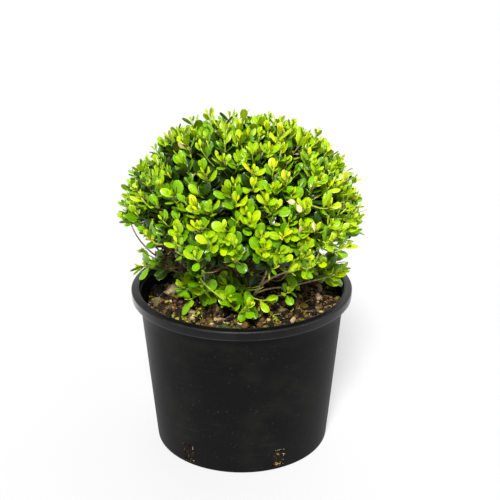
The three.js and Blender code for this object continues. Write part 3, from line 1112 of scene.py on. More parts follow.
            # Painted shade: lighter crumbs are left out of the hollows.
            if crumb.seed > 1:
                bare = self.sunk(place) < 5 * MM * chance(key, 15)
                key, place = key[bare], place[bare]
            size = crumb.smallest + (crumb.largest - crumb.smallest) * chance(key, 13) ** 1.8
            place[:, 2] += (0.35 * size * chance(key, 14) + 0.1 * size) * MM
            shell = self.lump(place, 0.62 * size * MM, key, crumb.flatness)
            add_crumbs(crumb.finish.name, shell, crumb.finish)
        for lumps in self.lumps:
            self.add_lumps(lumps)
        self.add_root_bits()
        self.add_slot_crumbs()
        self.add_slot_flash()

# ---- The crown's outline and its masses, as in the part ----


@dataclass
class CrownForm:
    """The clipped outline: an oblate ball with its own heights above and below its widest level."""

    level: float = 288 * MM
    radius: float = 139 * MM
    above: float = 109 * MM
    below: float = 76 * MM
    leafy_depth: float = 28 * MM
    dents: tuple = ((-92, -0.44, 0.36, 17), (-60, -0.48, 0.34, 14), (-100, 0.52, 0.38, 3),
                    (8, -0.78, 0.30, 9), (88, 0.70, 0.28, 6), (-94, 0.40, 0.17, 7))

    def near(self, direction: np.ndarray, turn: float, height: float, spread: float) -> np.ndarray:
        """How near directions are to one of them: 1 there, and falling off as a bell."""
        middle = around(turn, math.sqrt(1 - height**2), height)
        return np.exp(-np.sum((direction - middle) ** 2, axis=-1) / spread**2)

    def swell(self, direction: np.ndarray) -> np.ndarray:
        """How much the outline swells or sinks: a few slow waves round the crown.

        Args:
            direction: unit vectors, (n, 3).

        Returns:
            A factor near 1 for each.
        """
        turn = np.arctan2(direction[:, 0], -direction[:, 1])
        waist = 1 - direction[:, 2] ** 2
        ripple = np.sin(3 * turn + 0.6) + 0.6 * np.sin(5 * turn - 1.1)
        return 1 + 0.014 * waist * ripple + 0.012 * np.cos(4 * direction[:, 2] + 2 * turn)

    def depth(self, place: np.ndarray) -> np.ndarray:
        """How far places lie inside the outline, roughly, along the way from its middle.

        Args:
            place: the places, (n, 3).

        Returns:
            A depth for each, less than 0 outside.
        """
        from_middle = place - [0, 0, self.level]
        height = np.where(from_middle[:, 2] > 0, self.above, self.below)
        reach = np.stack([np.full(len(place), self.radius)] * 2 + [height], -1)
        share = np.linalg.norm(from_middle / reach, axis=-1)
        return (1 / np.maximum(share, 0.2) - 1) * np.linalg.norm(from_middle, axis=-1)

    def surface(self, direction: np.ndarray, depth: np.ndarray) -> np.ndarray:
        """The outline's place in each direction, drawn in by a depth and by the dents.

        Args:
            direction: unit vectors, (n, 3).
            depth: one depth, or one for each direction.

        Returns:
            Places, (n, 3).
        """
        share = self.swell(direction)
        for turn, level, spread, drop in self.dents:
            depth = depth + drop * MM * self.near(direction, turn, level, spread)
        height = np.where(direction[:, 2] > 0, self.above, self.below)
        reach = np.stack([self.radius * share, self.radius * share, height * share], -1)
        depth = np.broadcast_to(depth, share.shape)[:, None]
        return direction * (reach - depth) + [0, 0, self.level]


@dataclass
class Mass:
    """One foliage mass: its name, the heart of its space, its foot, and a low spray's tip."""

    name: str
    heart: np.ndarray
    foot: np.ndarray
    tip: Optional[np.ndarray] = None


def foliage_masses() -> list[Mass]:
    """The masses of the part, from the same named sizes.

    Returns:
        The top, the ring of six, and the six low sprays.
    """
    masses = [Mass("foliage_top", np.array([0, 4, 350]) * MM, np.array([1, 2, 274]) * MM)]
    ring = ["front", "front_right", "back_right", "back", "back_left", "front_left"]
    for i, side in enumerate(ring):
        turn = -12 + 60 * i
        heart = around(turn, (84 + 3 * sway(i, 31)) * MM, (282 + 5 * sway(i, 32)) * MM)
        masses.append(Mass(f"foliage_{side}", heart, around(turn, 60 * MM, 251 * MM)))
    sprays = [("left", -98, 104, 208), ("front_left", -42, 88, 205), ("front", 4, 84, 203),
              ("right", 82, 106, 213), ("back_right", 146, 98, 208), ("back_left", 208, 100, 207)]
    for side, turn, reach, height in sprays:
        reach, height = reach * MM, height * MM
        masses.append(Mass(f"spray_{side}", around(turn, 0.9 * reach, height - 30 * MM),
                           around(turn, 0.42 * reach, 206 * MM), around(turn, reach, height)))
    return masses


MASSES = foliage_masses()
CROWN_MASSES = [mass for mass in MASSES if mass.tip is None]
LOW_SPRAYS = [mass for mass in MASSES if mass.tip is not None]
CROWN_HEARTS = np.array([mass.heart for mass in CROWN_MASSES])
CROWN_FEET = np.array([mass.foot for mass in CROWN_MASSES])
FOLIAGE_NODES = [mass.name for mass in MASSES]
LIMB_NODES = [name.replace("foliage", "bough").replace("spray", "branch") for name in FOLIAGE_NODES]


# ---- Wood ----


@dataclass
class Wood:
    """The short stem with its root flare, and the limb that carries each mass."""

    foot: np.ndarray = field(default_factory=lambda: np.array([0, 0, 188.3]) * MM)
    lean: np.ndarray = field(default_factory=lambda: np.array([2, -3, 26]) * MM)
    stem_radius: float = 8 * MM
    stem_taper: float = 1 * MM
    flare: float = 6 * MM
    flare_height: float = 7 * MM
    bough_radii: tuple = (3.4 * MM, 2.2 * MM)
    branch_radii: tuple = (2.6 * MM, 1.7 * MM)

    def trunk(self) -> Shell:
        """The stem: its radius falls with height, and the flare adds the square of a share.

        Returns:
            The stem's shell.
        """
        t = np.linspace(-0.35, 1.02, 30)
        bend = np.array([-1.6, 1.0, 0]) * MM
        route = self.foot + self.lean * t[:, None] + bend * (4 * t * (1 - t))[:, None]
        low = np.clip(1 - t * self.lean[2] / self.flare_height, 0, 1.6)
        radius = self.stem_radius + self.stem_taper * (1 - 2 * t) + self.flare * low**2
        radius[-3:] *= [0.93, 0.75, 0.4]
        return tubes(route[None], radius, 28, 0.1, 3)

    def limb_points(self, index: int) -> list[np.ndarray]:
        """The control points of a mass's limb: a bough up into the crown, or a low branch.

        Args:
            index: which mass.

        Returns:
            Three arrays of one point each.
        """
        mass = MASSES[index]
        low = mass.tip is not None
        fork = self.foot + self.lean
        out = unit(mass.foot * [1, 1, 0])
        height = (8 if low else 16 + 6 * (index % 2)) * MM
        start = np.append((fork + 2 * MM * out)[:2], self.foot[2] + height)
        if index == 0:
            start = fork - [0, 0, 4 * MM]
        return arch(start[None], mass.foot[None], (1.5 if low else -5) * MM)

    def limb(self, index: int) -> Shell:
        """The limb of a mass as a tapering tube that wanders a little and swells at its root.

        Args:
            index: which mass.

        Returns:
            The limb's shell.
        """
        low = MASSES[index].tip is not None
        t = np.linspace(0, 1.03, 22)
        route = bezier(self.limb_points(index), t)
        wander = 1.2 * MM * np.stack([value_noise(route[0], 17 * MM, 60 + i) for i in range(3)], -1)
        route[0] += wander * np.sin(math.pi * np.clip(t, 0, 1))[:, None]
        first, last = self.branch_radii if low else self.bough_radii
        swelling = 1 + 0.55 * np.clip(1 - t / 0.12, 0, 1) ** 2
        return tubes(route, (first + (last - first) * t) * swelling, 12, 0.12, 5 + index)

    def build(self) -> None:
        """Makes the trunk and the limbs, with relief in their bark."""
        bark = WoodFinish("bark", (0.15, 0.105, 0.055), (0.34, 0.27, 0.17), 0.85, 0.9, 520.0, 0.8)
        young = WoodFinish("young_bark", (0.22, 0.17, 0.07), (0.4, 0.34, 0.16), 0.8, 0.8, 600.0, 0.6)
        add_piece("trunk", self.trunk(), [bark.material()], ["main_stem"])
        limbs = Shell.joined([self.limb(i) for i in range(len(MASSES))])
        add_piece("limbs", limbs, [young.material()], LIMB_NODES)


# ---- Shoots and leaves ----


@dataclass
class Shoots:
    """Shoots of one size: curves of four control points, with their keys and outward ways."""

    points: list[np.ndarray]
    key: np.ndarray
    outward: np.ndarray
    radii: tuple
    pairs: int
    leaf_length: float
    age: float = 0.0
    rise: float = 0.26

    def curves(self, which: np.ndarray) -> list[np.ndarray]:
        """The control points of some of the shoots."""
        return [point[which] for point in self.points]

    def twigs(self, sides: int, steps: int) -> Shell:
        """The shoots' stems as tapering tubes.

        Args:
            sides: how many sides a stem has.
            steps: how many rings a stem has.

        Returns:
            One shell.
        """
        t = np.linspace(0, 1, steps)
        radii = self.radii[0] + (self.radii[1] - self.radii[0]) * t
        return tubes(bezier(self.points, t), radii, sides)


@dataclass
class Leaves:
    """Leaves in the making: where each starts, its way, its face, its size and its tone."""

    root: np.ndarray
    along: np.ndarray
    face: np.ndarray
    length: np.ndarray
    width: np.ndarray
    tone: np.ndarray
    key: np.ndarray

    def columns(self) -> tuple:
        """What is known of the leaves, in the order of the fields."""
        return self.root, self.along, self.face, self.length, self.width, self.tone, self.key

    @staticmethod
    def joined(parts: Sequence["Leaves"]) -> "Leaves":
        """Several lots of leaves as one."""
        return Leaves(*map(np.concatenate, zip(*(part.columns() for part in parts))))

    def chosen(self, which: np.ndarray) -> "Leaves":
        """Those of the leaves that a mask or a list of numbers picks."""
        return Leaves(*(column[which] for column in self.columns()))


@dataclass
class LeafForm:
    """A box leaf: oval, widest past its middle, blunt, domed, with its margins turned down.

    A leaf is a row of rings across it, closed at its root and at its tip. A ring runs over the
    upper side from one margin to the other, and back under it.
    """

    stations: tuple = (0.07, 0.22, 0.43, 0.64, 0.83, 0.955)
    widths: tuple = (0.24, 0.64, 0.95, 1.0, 0.80, 0.43)
    across: tuple = (-1, -0.5, 0, 0.5, 1, 0.5, 0, -0.5)
    lift: tuple = (0, 1, 1, 1, 0, -1, -1, -1)
    thickness: float = 0.42 * MM
    groove: float = 0.035
    petiole: float = 1.2 * MM

    def shell(self, leaves: Leaves) -> Shell:
        """The leaves as one shell.

        A place is along its leaf by t, across it by u times half the width at t, and up from it
        by a dome that falls with u^2, a bend that falls with t^2 and half of the thickness.

        Args:
            leaves: the leaves.

        Returns:
            The shell, with slot 0 on the upper sides, slot 1 below, UV and margins.
        """
        length = leaves.length[:, None, None]
        width = 0.5 * leaves.width[:, None, None]
        t = np.array(self.stations)[None, :, None]
        u = np.array(self.across)[None, None, :]
        outline = np.array(self.widths)[None, :, None]
        dome = (0.30 + 0.22 * sway(leaves.key, 4))[:, None, None]
        bend = (0.16 + 0.20 * sway(leaves.key, 5))[:, None, None]
        twist = 0.16 * sway(leaves.key, 6)[:, None, None]
        side = u * outline * width
        height = -dome * width * outline * u**2 - bend * length * t**2 + twist * side * t
        height = height - self.groove * length * outline * (np.abs(u) < 0.1)
        height = height + 0.5 * self.thickness * np.array(self.lift)
        forwards = (self.petiole + t * length) * np.ones_like(u)
        wide = np.cross(leaves.face, leaves.along)
        frames = [v[:, None, None] for v in (leaves.along, wide, leaves.face)]
        rings = leaves.root[:, None, None] + frames[0] * forwards[..., None]
        rings = rings + frames[1] * side[..., None] + frames[2] * height[..., None]
        shell = lofted(rings)
        count, rows, columns = rings.shape[:3]
        vertices = shell.vertices.reshape(count, -1, 3)
        vertices[:, -2] = leaves.root
        drop = (bend * length)[:, :, 0]
        vertices[:, -1] = leaves.root + leaves.along * (self.petiole + 0.985 * leaves.length[:, None])
        vertices[:, -1] -= leaves.face * drop
        lift = np.array(self.lift)
        slots = np.tile(np.minimum(lift, np.roll(lift, -1)) < 0, (rows - 1) + 2).astype(int)
        uv = np.stack(np.broadcast_arrays(t[0], 0.5 + 0.5 * u[0] * outline[0]), -1).reshape(-1, 2)
        uv = np.concatenate([uv, [[0, 0.5], [1, 0.5]]])
        margins = np.tile(np.select([u.ravel() == -1, u.ravel() == 1], [1, 2], 0), rows)
        margins = np.concatenate([margins, [3, 3]])
        return Shell(vertices.reshape(-1, 3), shell.faces, np.tile(slots, count),
                     np.tile(uv, (count, 1)), np.tile(margins, count))


# A simpler leaf for the crown's inside, where only glimpses show.
INNER_LEAF = LeafForm(stations=(0.12, 0.48, 0.84), widths=(0.4, 1.0, 0.78), across=(-1, 0, 1, 0),
                      lift=(0, 1, 0, -1))

# From a shoot's tip on: how far off each pair of leaves stands, and how much it has grown.
PAIR_PLACES = np.array([0.6, 3.6, 9, 17.5, 28, 39.5, 51, 62]) * MM
PAIR_LENGTHS = np.interp(np.arange(8), [0, 1, 2, 3, 9], [0.56, 0.84, 1.0, 1.06, 0.98])
PAIR_WIDTHS = np.interp(np.arange(8), [0, 1, 2], [0.66, 0.88, 1.0])


@dataclass(frozen=True)
class Habit:
    """How leaves stand on their shoots, as the weights of what turns a leaf and its face.

    The spread from the shoot is in degrees, at the tip and added towards the root.
    """

    spread: float = 16
    spread_growth: float = 42
    spread_sway: float = 12
    way_sway: float = 0.12
    own_face: float = 0.62
    outwards: float = 0.34
    upwards: float = 0.26
    face_sway: float = 0.30
    length_sway: float = 0.26
    slimness: float = 0.62
    youth_tone: float = 0.44
    shoot_tone: float = 0.24
    leaf_tone: float = 0.36


HABIT = Habit()


def leaf_pairs(shoots: Shoots) -> Leaves:
    """Opposite pairs of leaves along shoots, each pair turned by a quarter from the last.

    A leaf leaves its shoot by a spread that grows towards the shoot's root. Its face turns from
    the shoot towards the light: outwards and up.

    Args:
        shoots: the shoots.

    Returns:
        Their leaves.
    """
    count = len(shoots.key)
    pair = np.arange(shoots.pairs)
    grid = shoots.key[:, None] * 31.0 + pair
    span = np.linalg.norm(shoots.points[-1] - shoots.points[0], axis=-1)[:, None]
    stretch = 1 + 0.45 * chance(shoots.key, 14)[:, None] ** 1.5
    from_tip = PAIR_PLACES[pair] * stretch * (1 + 0.16 * sway(grid, 1))
    t = np.clip(1 - from_tip / span, 0.12, 0.995)
    place = bezier(shoots.points, t)
    ahead = bezier(shoots.points, np.clip(t + 0.02, 0, 1.0)) - bezier(shoots.points, t - 0.02)
    stem = unit(ahead)
    first = unit(np.cross(stem, UP + 0.3 * swayed(shoots.key, 2)[:, None]))
    second = np.cross(stem, first)
    turn = 2 * math.pi * chance(shoots.key, 3)[:, None] + math.pi / 2 * pair + 0.35 * sway(grid, 4)
    parts = []
    for half in (0, 1):
        key = grid + 0.5 * half + 0.13
        angle = (turn + math.pi * half + 0.25 * sway(key, 5))[..., None]
        out = first * np.cos(angle) + second * np.sin(angle)
        opening = HABIT.spread_growth * np.clip(pair / 3.0, 0, 1) ** 0.7
        spread = np.radians(HABIT.spread + opening + HABIT.spread_sway * sway(key, 6))[..., None]
        along = stem * np.cos(spread) + out * np.sin(spread)
        along = unit(along + shoots.rise * UP + HABIT.way_sway * swayed(key, 7))
        face = HABIT.own_face * unit(stem * np.sin(spread) - out * np.cos(spread))
        face = face + HABIT.outwards * shoots.outward[:, None] + HABIT.upwards * UP
        face = face + HABIT.face_sway * swayed(key, 8)
        face = unit(face - along * dot(face, along))
        length = shoots.leaf_length * PAIR_LENGTHS[pair] * (1 + HABIT.length_sway * sway(key, 9))
        width = length * (HABIT.slimness + 0.09 * sway(key, 12)) * PAIR_WIDTHS[pair]
        young = 1 - pair / max(shoots.pairs - 1, 1) - shoots.age
        tone = HABIT.youth_tone * young + HABIT.shoot_tone * chance(shoots.key, 10)[:, None]
        tone = tone + HABIT.leaf_tone * chance(key, 11)
        parts.append(Leaves(
            (place + out * shoots.radii[1] * 0.8).reshape(-1, 3),
            along.reshape(-1, 3),
            face.reshape(-1, 3),
            length.ravel(),
            width.ravel(),
            np.broadcast_to(tone, (count, shoots.pairs)).ravel(),
            key.ravel(),
        ))
    return Leaves.joined(parts)


@dataclass
class Crown:
    """The crown: branches from each mass's stem, shoots from the branches, out to the outline."""

    form: CrownForm = field(default_factory=CrownForm)
    branches: int = 140
    shoots: int = 540
    lowest: float = -0.86
    thin: tuple = ((-90, -0.46, 0.30), (-60, -0.46, 0.36), (8, -0.68, 0.34))
    tall: tuple = ((-122, 0.95, -2), (-60, 0.975, -5), (170, 0.99, -3), (-112, 0.90, -3), (125, 0.96, -2),
                   (-150, 0.98, -4), (-90, 0.46, -2), (-96, 0.36, -4), (90, 0.44, -6), (96, 0.30, -9),
                   (80, 0.24, -7), (93, 0.10, -5), (84, -0.10, -5), (97, -0.28, -6), (-84, 0.20, -5),
                   (-96, 0.02, -4))
    strays: int = 26
    bare_twigs: int = 150
    deep: int = 290
    hidden: float = 56.0
    # Painted light: a lighter leaf tone on one side of the crown, near the front.
    painted_light_patch: tuple = (12, 0.30, 0.55)
    painted_light_gain: float = 0.13
    lift: float = 0.115
    # Painted shade: darker leaf tones deeper inside the outline and on the low side.
    shade: float = 0.03
    shaded: tuple = (8, 34)
    lit_above: float = 0.12
    low_shade: float = 0.45
    rise: float = 0.46
    gaps: tuple = (((24, -50, 216), 17), ((46, -56, 236), 9), ((-84, -40, 243), 17))
    dead: int = 62
    dead_place: tuple = (-80, -28, 250)
    gap_way: tuple = (0, -0.92, 0.39)
    branch_radii: tuple = (1.5 * MM, 0.85 * MM)
    shoot_radii: tuple = (1.25 * MM, 0.8 * MM)

    def bareness(self, direction: np.ndarray) -> np.ndarray:
        """How bare the crown is in each direction, from 0 to 1: most in a few thin places."""
        return np.max([self.form.near(direction, *place) for place in self.thin], axis=0)

    def mass_of(self, places: np.ndarray) -> np.ndarray:
        """Which crown mass each place belongs to: the one with the nearest heart."""
        return np.argmin(np.linalg.norm(places[:, None] - CROWN_HEARTS, axis=-1), axis=1)

    def on_boughs(self, mass: np.ndarray, share: np.ndarray) -> np.ndarray:
        """Places on the boughs of some masses, at their shares of the way along."""
        boughs = zip(*(Wood().limb_points(i) for i in range(len(CROWN_MASSES))))
        return place_on([np.concatenate(points)[mass] for points in boughs], share)

    def branch_shoots(self) -> tuple[Shoots, np.ndarray]:
        """The part's own twigs, each joined to the stem of its mass by a branch.

        Returns:
            The branches, which end as leafy shoots, and their directions.
        """
        key, direction = even_directions(self.branches, self.lowest)
        kept = (direction[:, 2] > -0.45) | (chance(key, 22) < 0.45)
        kept &= chance(key, 24) > 0.9 * self.bareness(direction)
        key, direction = key[kept], direction[kept]
        root = self.form.surface(direction, self.form.leafy_depth + 9 * MM)
        lean = np.stack([0.2 * sway(key, 3), 0.2 * sway(key, 4), 0.3 + 0.12 * sway(key, 5)], -1)
        lean[:, 2] += 0.5 * np.clip(-direction[:, 2], 0, 1)
        way = unit(unit(self.form.surface(direction, 0.0) - root) + lean)
        reach = self.form.leafy_depth - 3 * MM + 6 * MM * sway(key, 6)
        tip = root + way * reach[:, None]
        mass = self.mass_of(root)
        foot, heart = CROWN_FEET[mass], CROWN_HEARTS[mass]
        start = foot + (heart - foot) * 0.5 * chance(key, 7)[:, None]
        start = np.where(direction[:, 2:] < -0.1, self.on_boughs(mass, 0.35 + 0.6 * chance(key, 23)), start)
        rise = unit(heart - foot) * 0.4 + unit(root - start) * 0.6
        points = swept(start, rise, 0.35, tip, way, 0.42)
        outward = unit(direction)
        return Shoots(points, key, outward, self.branch_radii, 8, 15.8 * MM, rise=self.rise), direction

    def fine_shoots(self, parents: Shoots, towards: np.ndarray) -> Shoots:
        """Finer shoots, spread evenly over the outline, each from the nearest branch.

        Args:
            parents: the branches.
            towards: the branches' directions.

        Returns:
            The shoots.
        """
        key, direction = even_directions(self.shoots, self.lowest)
        key = key + Key.FINE_SHOOTS
        direction = unit(direction + 0.09 * swayed(key, 1))
        kept = chance(key, 21) < np.interp(direction[:, 2], [-0.8, -0.4, -0.05], [0.0, 0.4, 1.0])
        kept &= chance(key, 24) > self.bareness(direction)
        key, direction = key[kept], direction[kept]
        parent = np.argmax(direction @ towards.T, axis=1)
        hollow = value_noise(direction, 0.30, 71) + 0.5 * value_noise(direction, 0.15, 72)
        depth = 1 + 22 * np.clip(hollow, 0, 1) + 9 * chance(key, 2) ** 2
        depth = (depth + 8 * np.exp(-((direction[:, 2] - 0.68) / 0.2) ** 2)) * MM
        tip = self.form.surface(direction, depth)
        share = 0.35 + 0.4 * chance(key, 3)
        own = parents.curves(parent)
        start = place_on(own, share)
        stem = unit(place_on(own, share + 0.02) - start)
        up = 1.1 - 0.6 * direction[:, 2:]
        way = unit(direction + up * UP + 0.32 * swayed(key, 4))
        points = swept(start, stem, 0.3, tip, way, 0.45)
        return Shoots(points, key, direction, self.shoot_radii, 6, 15.0 * MM, rise=self.rise)

    def deep_shoots(self, parents: Shoots, towards: np.ndarray) -> Shoots:
        """Shoots deep in the crown, which close it against the light behind.

        Args:
            parents: the branches.
            towards: the branches' directions.

        Returns:
            The shoots.
        """
        key, direction = even_directions(self.deep, -0.6)
        key = key + Key.DEEP_SHOOTS
        direction = unit(direction + 0.15 * swayed(key, 1))
        kept = chance(key, 24) > 0.8 * self.bareness(direction)
        key, direction = key[kept], direction[kept]
        parent = np.argmax(direction @ towards.T, axis=1)
        tip = self.form.surface(direction, (25 + 28 * chance(key, 2)) * MM)
        start = place_on(parents.curves(parent), 0.1 + 0.3 * chance(key, 3))
        way = unit(direction + 0.5 * UP + 0.5 * swayed(key, 4))
        points = swept(start, unit(tip - start), 0.3, tip, way, 0.4)
        return Shoots(points, key, direction, self.shoot_radii, 5, 15.0 * MM)

    def stray_shoots(self, parents: Shoots) -> Shoots:
        """Thin shoots that missed the shears and stand a little out of the outline.

        Args:
            parents: the branches.

        Returns:
            The shoots.
        """
        key = np.arange(self.strays) + Key.STRAY_SHOOTS
        pick = (chance(key, 1) * len(parents.key)).astype(int)
        outward = parents.outward[pick]
        way = unit(outward + 0.7 * UP + 0.6 * swayed(key, 2))
        *_, start, end = parents.curves(pick)
        tip = end + way * (8 + 8 * chance(key, 3))[:, None] * MM
        points = swept(start, outward, 0.3, tip, way, 0.4)
        return Shoots(points, key, outward, (0.7 * MM, 0.4 * MM), 2, 13 * MM)

    def tall_shoots(self) -> Shoots:
        """The few shoots that stand highest, at their turns, heights and reaches past the outline.

        Returns:
            The shoots.
        """
        turn, level, past = np.array(self.tall).T
        direction = around(turn, np.sqrt(1 - level**2), level)
        tip = self.form.surface(direction, -past * MM)
        start = self.form.surface(direction, 40 * MM)
        way = unit(direction + 0.4 * UP)
        points = [start, start + direction * 15 * MM, tip - way * 16 * MM, tip]
        return Shoots(points, turn + Key.TALL_SHOOTS, direction, self.shoot_radii, 5, 15 * MM)

    def inner_twigs(self) -> Shoots:
        """Thin bare twigs inside the low half of the crown, from the boughs out towards the light.

        Returns:
            The twigs, of which each keeps one small pair of leaves.
        """
        key = even_directions(self.bare_twigs, -0.9)[0] + Key.BARE_TWIGS
        level = -0.08 - 0.8 * chance(key, 1)
        turn = np.where(chance(key, 2) < 0.4, -72 + 42 * sway(key, 3), 180 * sway(key, 3))
        direction = around(turn, np.sqrt(1 - level**2), level)
        tip = self.form.surface(direction, (4 + 26 * chance(key, 4)) * MM)
        return Shoots(self.from_boughs(key, tip), key, direction, (0.95 * MM, 0.45 * MM), 1, 8 * MM)

    def from_boughs(self, key: np.ndarray, tip: np.ndarray) -> list[np.ndarray]:
        """Crooked ways from the boughs to some tips.

        Args:
            key: a key for each.
            tip: where they end.

        Returns:
            Four control points of each.
        """
        start = self.on_boughs(self.mass_of(tip), 0.3 + 0.7 * chance(key, 5))
        whole = tip - start
        span = np.linalg.norm(whole, axis=-1, keepdims=True)
        first, second = (0.30 * span * swayed(key, channel) for channel in (6, 9))
        return [start, start + 0.35 * whole + first, start + 0.7 * whole + second, tip]

    def dead_twigs(self) -> Shoots:
        """Dead twigs that crowd together low on one side, with shrivelled leaves still on them.

        Returns:
            The twigs.
        """
        key = np.arange(self.dead) + Key.DEAD_TWIGS
        tip = np.array(self.dead_place) * MM + swayed(key, 1) * [16 * MM, 13 * MM, 20 * MM]
        outward = unit(swayed(key, 2) + UP)
        return Shoots(self.from_boughs(key, tip), key, outward, (0.9 * MM, 0.5 * MM), 3, 7.5 * MM)

    def grow(self) -> tuple[Shell, Shell, Leaves]:
        """Grows the crown. Its leaves are lighter on one side near the front by painted light, and darker
        deep inside and low by painted shade.

        Returns:
            The woody branches, the green shoots, and the leaves.
        """
        branches, direction = self.branch_shoots()
        fine = self.fine_shoots(branches, direction)
        deep = self.deep_shoots(branches, direction)
        strays = self.stray_shoots(branches)
        tall = self.tall_shoots()
        stems = self.mass_stems()
        green = Shell.joined([fine.twigs(5, 9), strays.twigs(4, 7), tall.twigs(5, 7)])
        inner = self.inner_twigs()
        wood = Shell.joined([branches.twigs(6, 12), stems, inner.twigs(5, 10), deep.twigs(4, 6),
                             self.dead_twigs().twigs(5, 10)])
        leaves = Leaves.joined([leaf_pairs(s) for s in (branches, fine, strays, tall, inner, deep)])
        direction = unit(leaves.root - [0, 0, self.form.level])
        # Painted light: the tone rises on one side near the front.
        leaves.tone += self.painted_light_gain * self.form.near(direction, *self.painted_light_patch)
        depth = self.form.depth(leaves.root) / MM
        first, most = self.shaded
        low = np.clip(self.lit_above - direction[:, 2], 0, 0.7)
        # Painted shade: the tone falls with depth inside the outline and on the low side.
        leaves.tone += self.lift - self.shade * np.clip(depth - first, 0, most) - self.low_shade * low
        return wood, green, leaves.chosen(depth < self.hidden)

    def opened(self, leaves: Leaves) -> Leaves:
        """Leaves out those in a few gaps, round holes that run from the heart of the plant forwards.

        Args:
            leaves: the leaves.

        Returns:
            The others.
        """
        middle = leaves.root + 0.5 * leaves.length[:, None] * leaves.along
        forwards = unit(np.array(self.gap_way))
        shut = np.ones(len(middle), bool)
        for place, radius in self.gaps:
            way = middle - np.array(place) * MM
            ahead = dot(way, forwards)
            away = np.linalg.norm(way - ahead * forwards, axis=-1)
            shut &= (ahead[:, 0] < 0) | (away > radius * MM)
        return leaves.chosen(shut)

    def mass_stems(self) -> Shell:
        """Each crown mass's own stem, from its bough's tip half way to its heart.

        Returns:
            One shell.
        """
        way = CROWN_HEARTS - CROWN_FEET
        points = [CROWN_FEET, CROWN_FEET + 0.3 * way, CROWN_FEET + 0.55 * way]
        return tubes(bezier(points, np.linspace(-0.03, 1, 8)), np.linspace(2.2, 1.6, 8) * MM, 7)


@dataclass
class LowSprays:
    """The low sprays under the crown: a stem with leafy shoots to both sides and one ahead."""

    forks: int = 8
    twig: float = 24 * MM
    draws: tuple = (0.66, 0.5, 0.74, 0.92, 1, 1)
    stem_radii: tuple = (1.7 * MM, 0.9 * MM)
    shoot_radii: tuple = (0.85 * MM, 0.55 * MM)

    def grow(self) -> tuple[Shell, Shell, Leaves]:
        """Grows the sprays.

        Returns:
            Their stems, their green shoots, and their leaves.
        """
        foot = np.array([mass.foot for mass in LOW_SPRAYS])
        way = np.array([mass.tip for mass in LOW_SPRAYS]) - foot
        points = arch(foot, foot + way * np.array(self.draws)[:, None], 4 * MM)
        t = np.linspace(0, 1, 14)
        stems = tubes(bezier(points, t), np.linspace(*self.stem_radii, 14), 7)
        index = np.repeat(np.arange(len(LOW_SPRAYS)), self.forks)
        fork = np.tile(np.arange(self.forks), len(LOW_SPRAYS))
        key = Key.SPRAY_SHOOTS + 20 * index + fork
        share = 0.18 + 0.82 * (fork + 0.4 * sway(key, 6)).clip(0) / (self.forks - 1)
        share = np.where(fork == self.forks - 1, 1.0, share.clip(0, 0.97))
        own = [point[index] for point in points]
        root = place_on(own, share)
        ahead = unit(root - place_on(own, share - 0.02))
        sideways = np.where(fork == self.forks - 1, 0.0, np.where(fork % 2 == 0, 1.0, -1.0))[:, None]
        way = np.cross(ahead, UP) * sideways + 0.75 * ahead + [0, 0, 0.35] + 0.25 * swayed(key, 8)
        end = root + unit(way) * (self.twig + 5 * MM * sway(key, 7))[:, None]
        final = unit(unit(way) + 0.5 * UP)
        curve = [root, root + (end - root) * 0.4, end - final * 0.3 * self.twig, end]
        outward = unit(ahead + 1.2 * UP)
        shoots = Shoots(curve, key, outward, self.shoot_radii, 4, 17.5 * MM, 0.1)
        return stems, shoots.twigs(5, 7), leaf_pairs(shoots)


@dataclass
class Stem:
    """A longer stem: its way and radii in mm, its leaves, and where they turn their faces."""

    way: tuple
    radii: tuple = (1.3, 0.7)
    pairs: int = 5
    leaf_length: float = 15 * MM
    outward: tuple = (0, -0.8, 0.6)


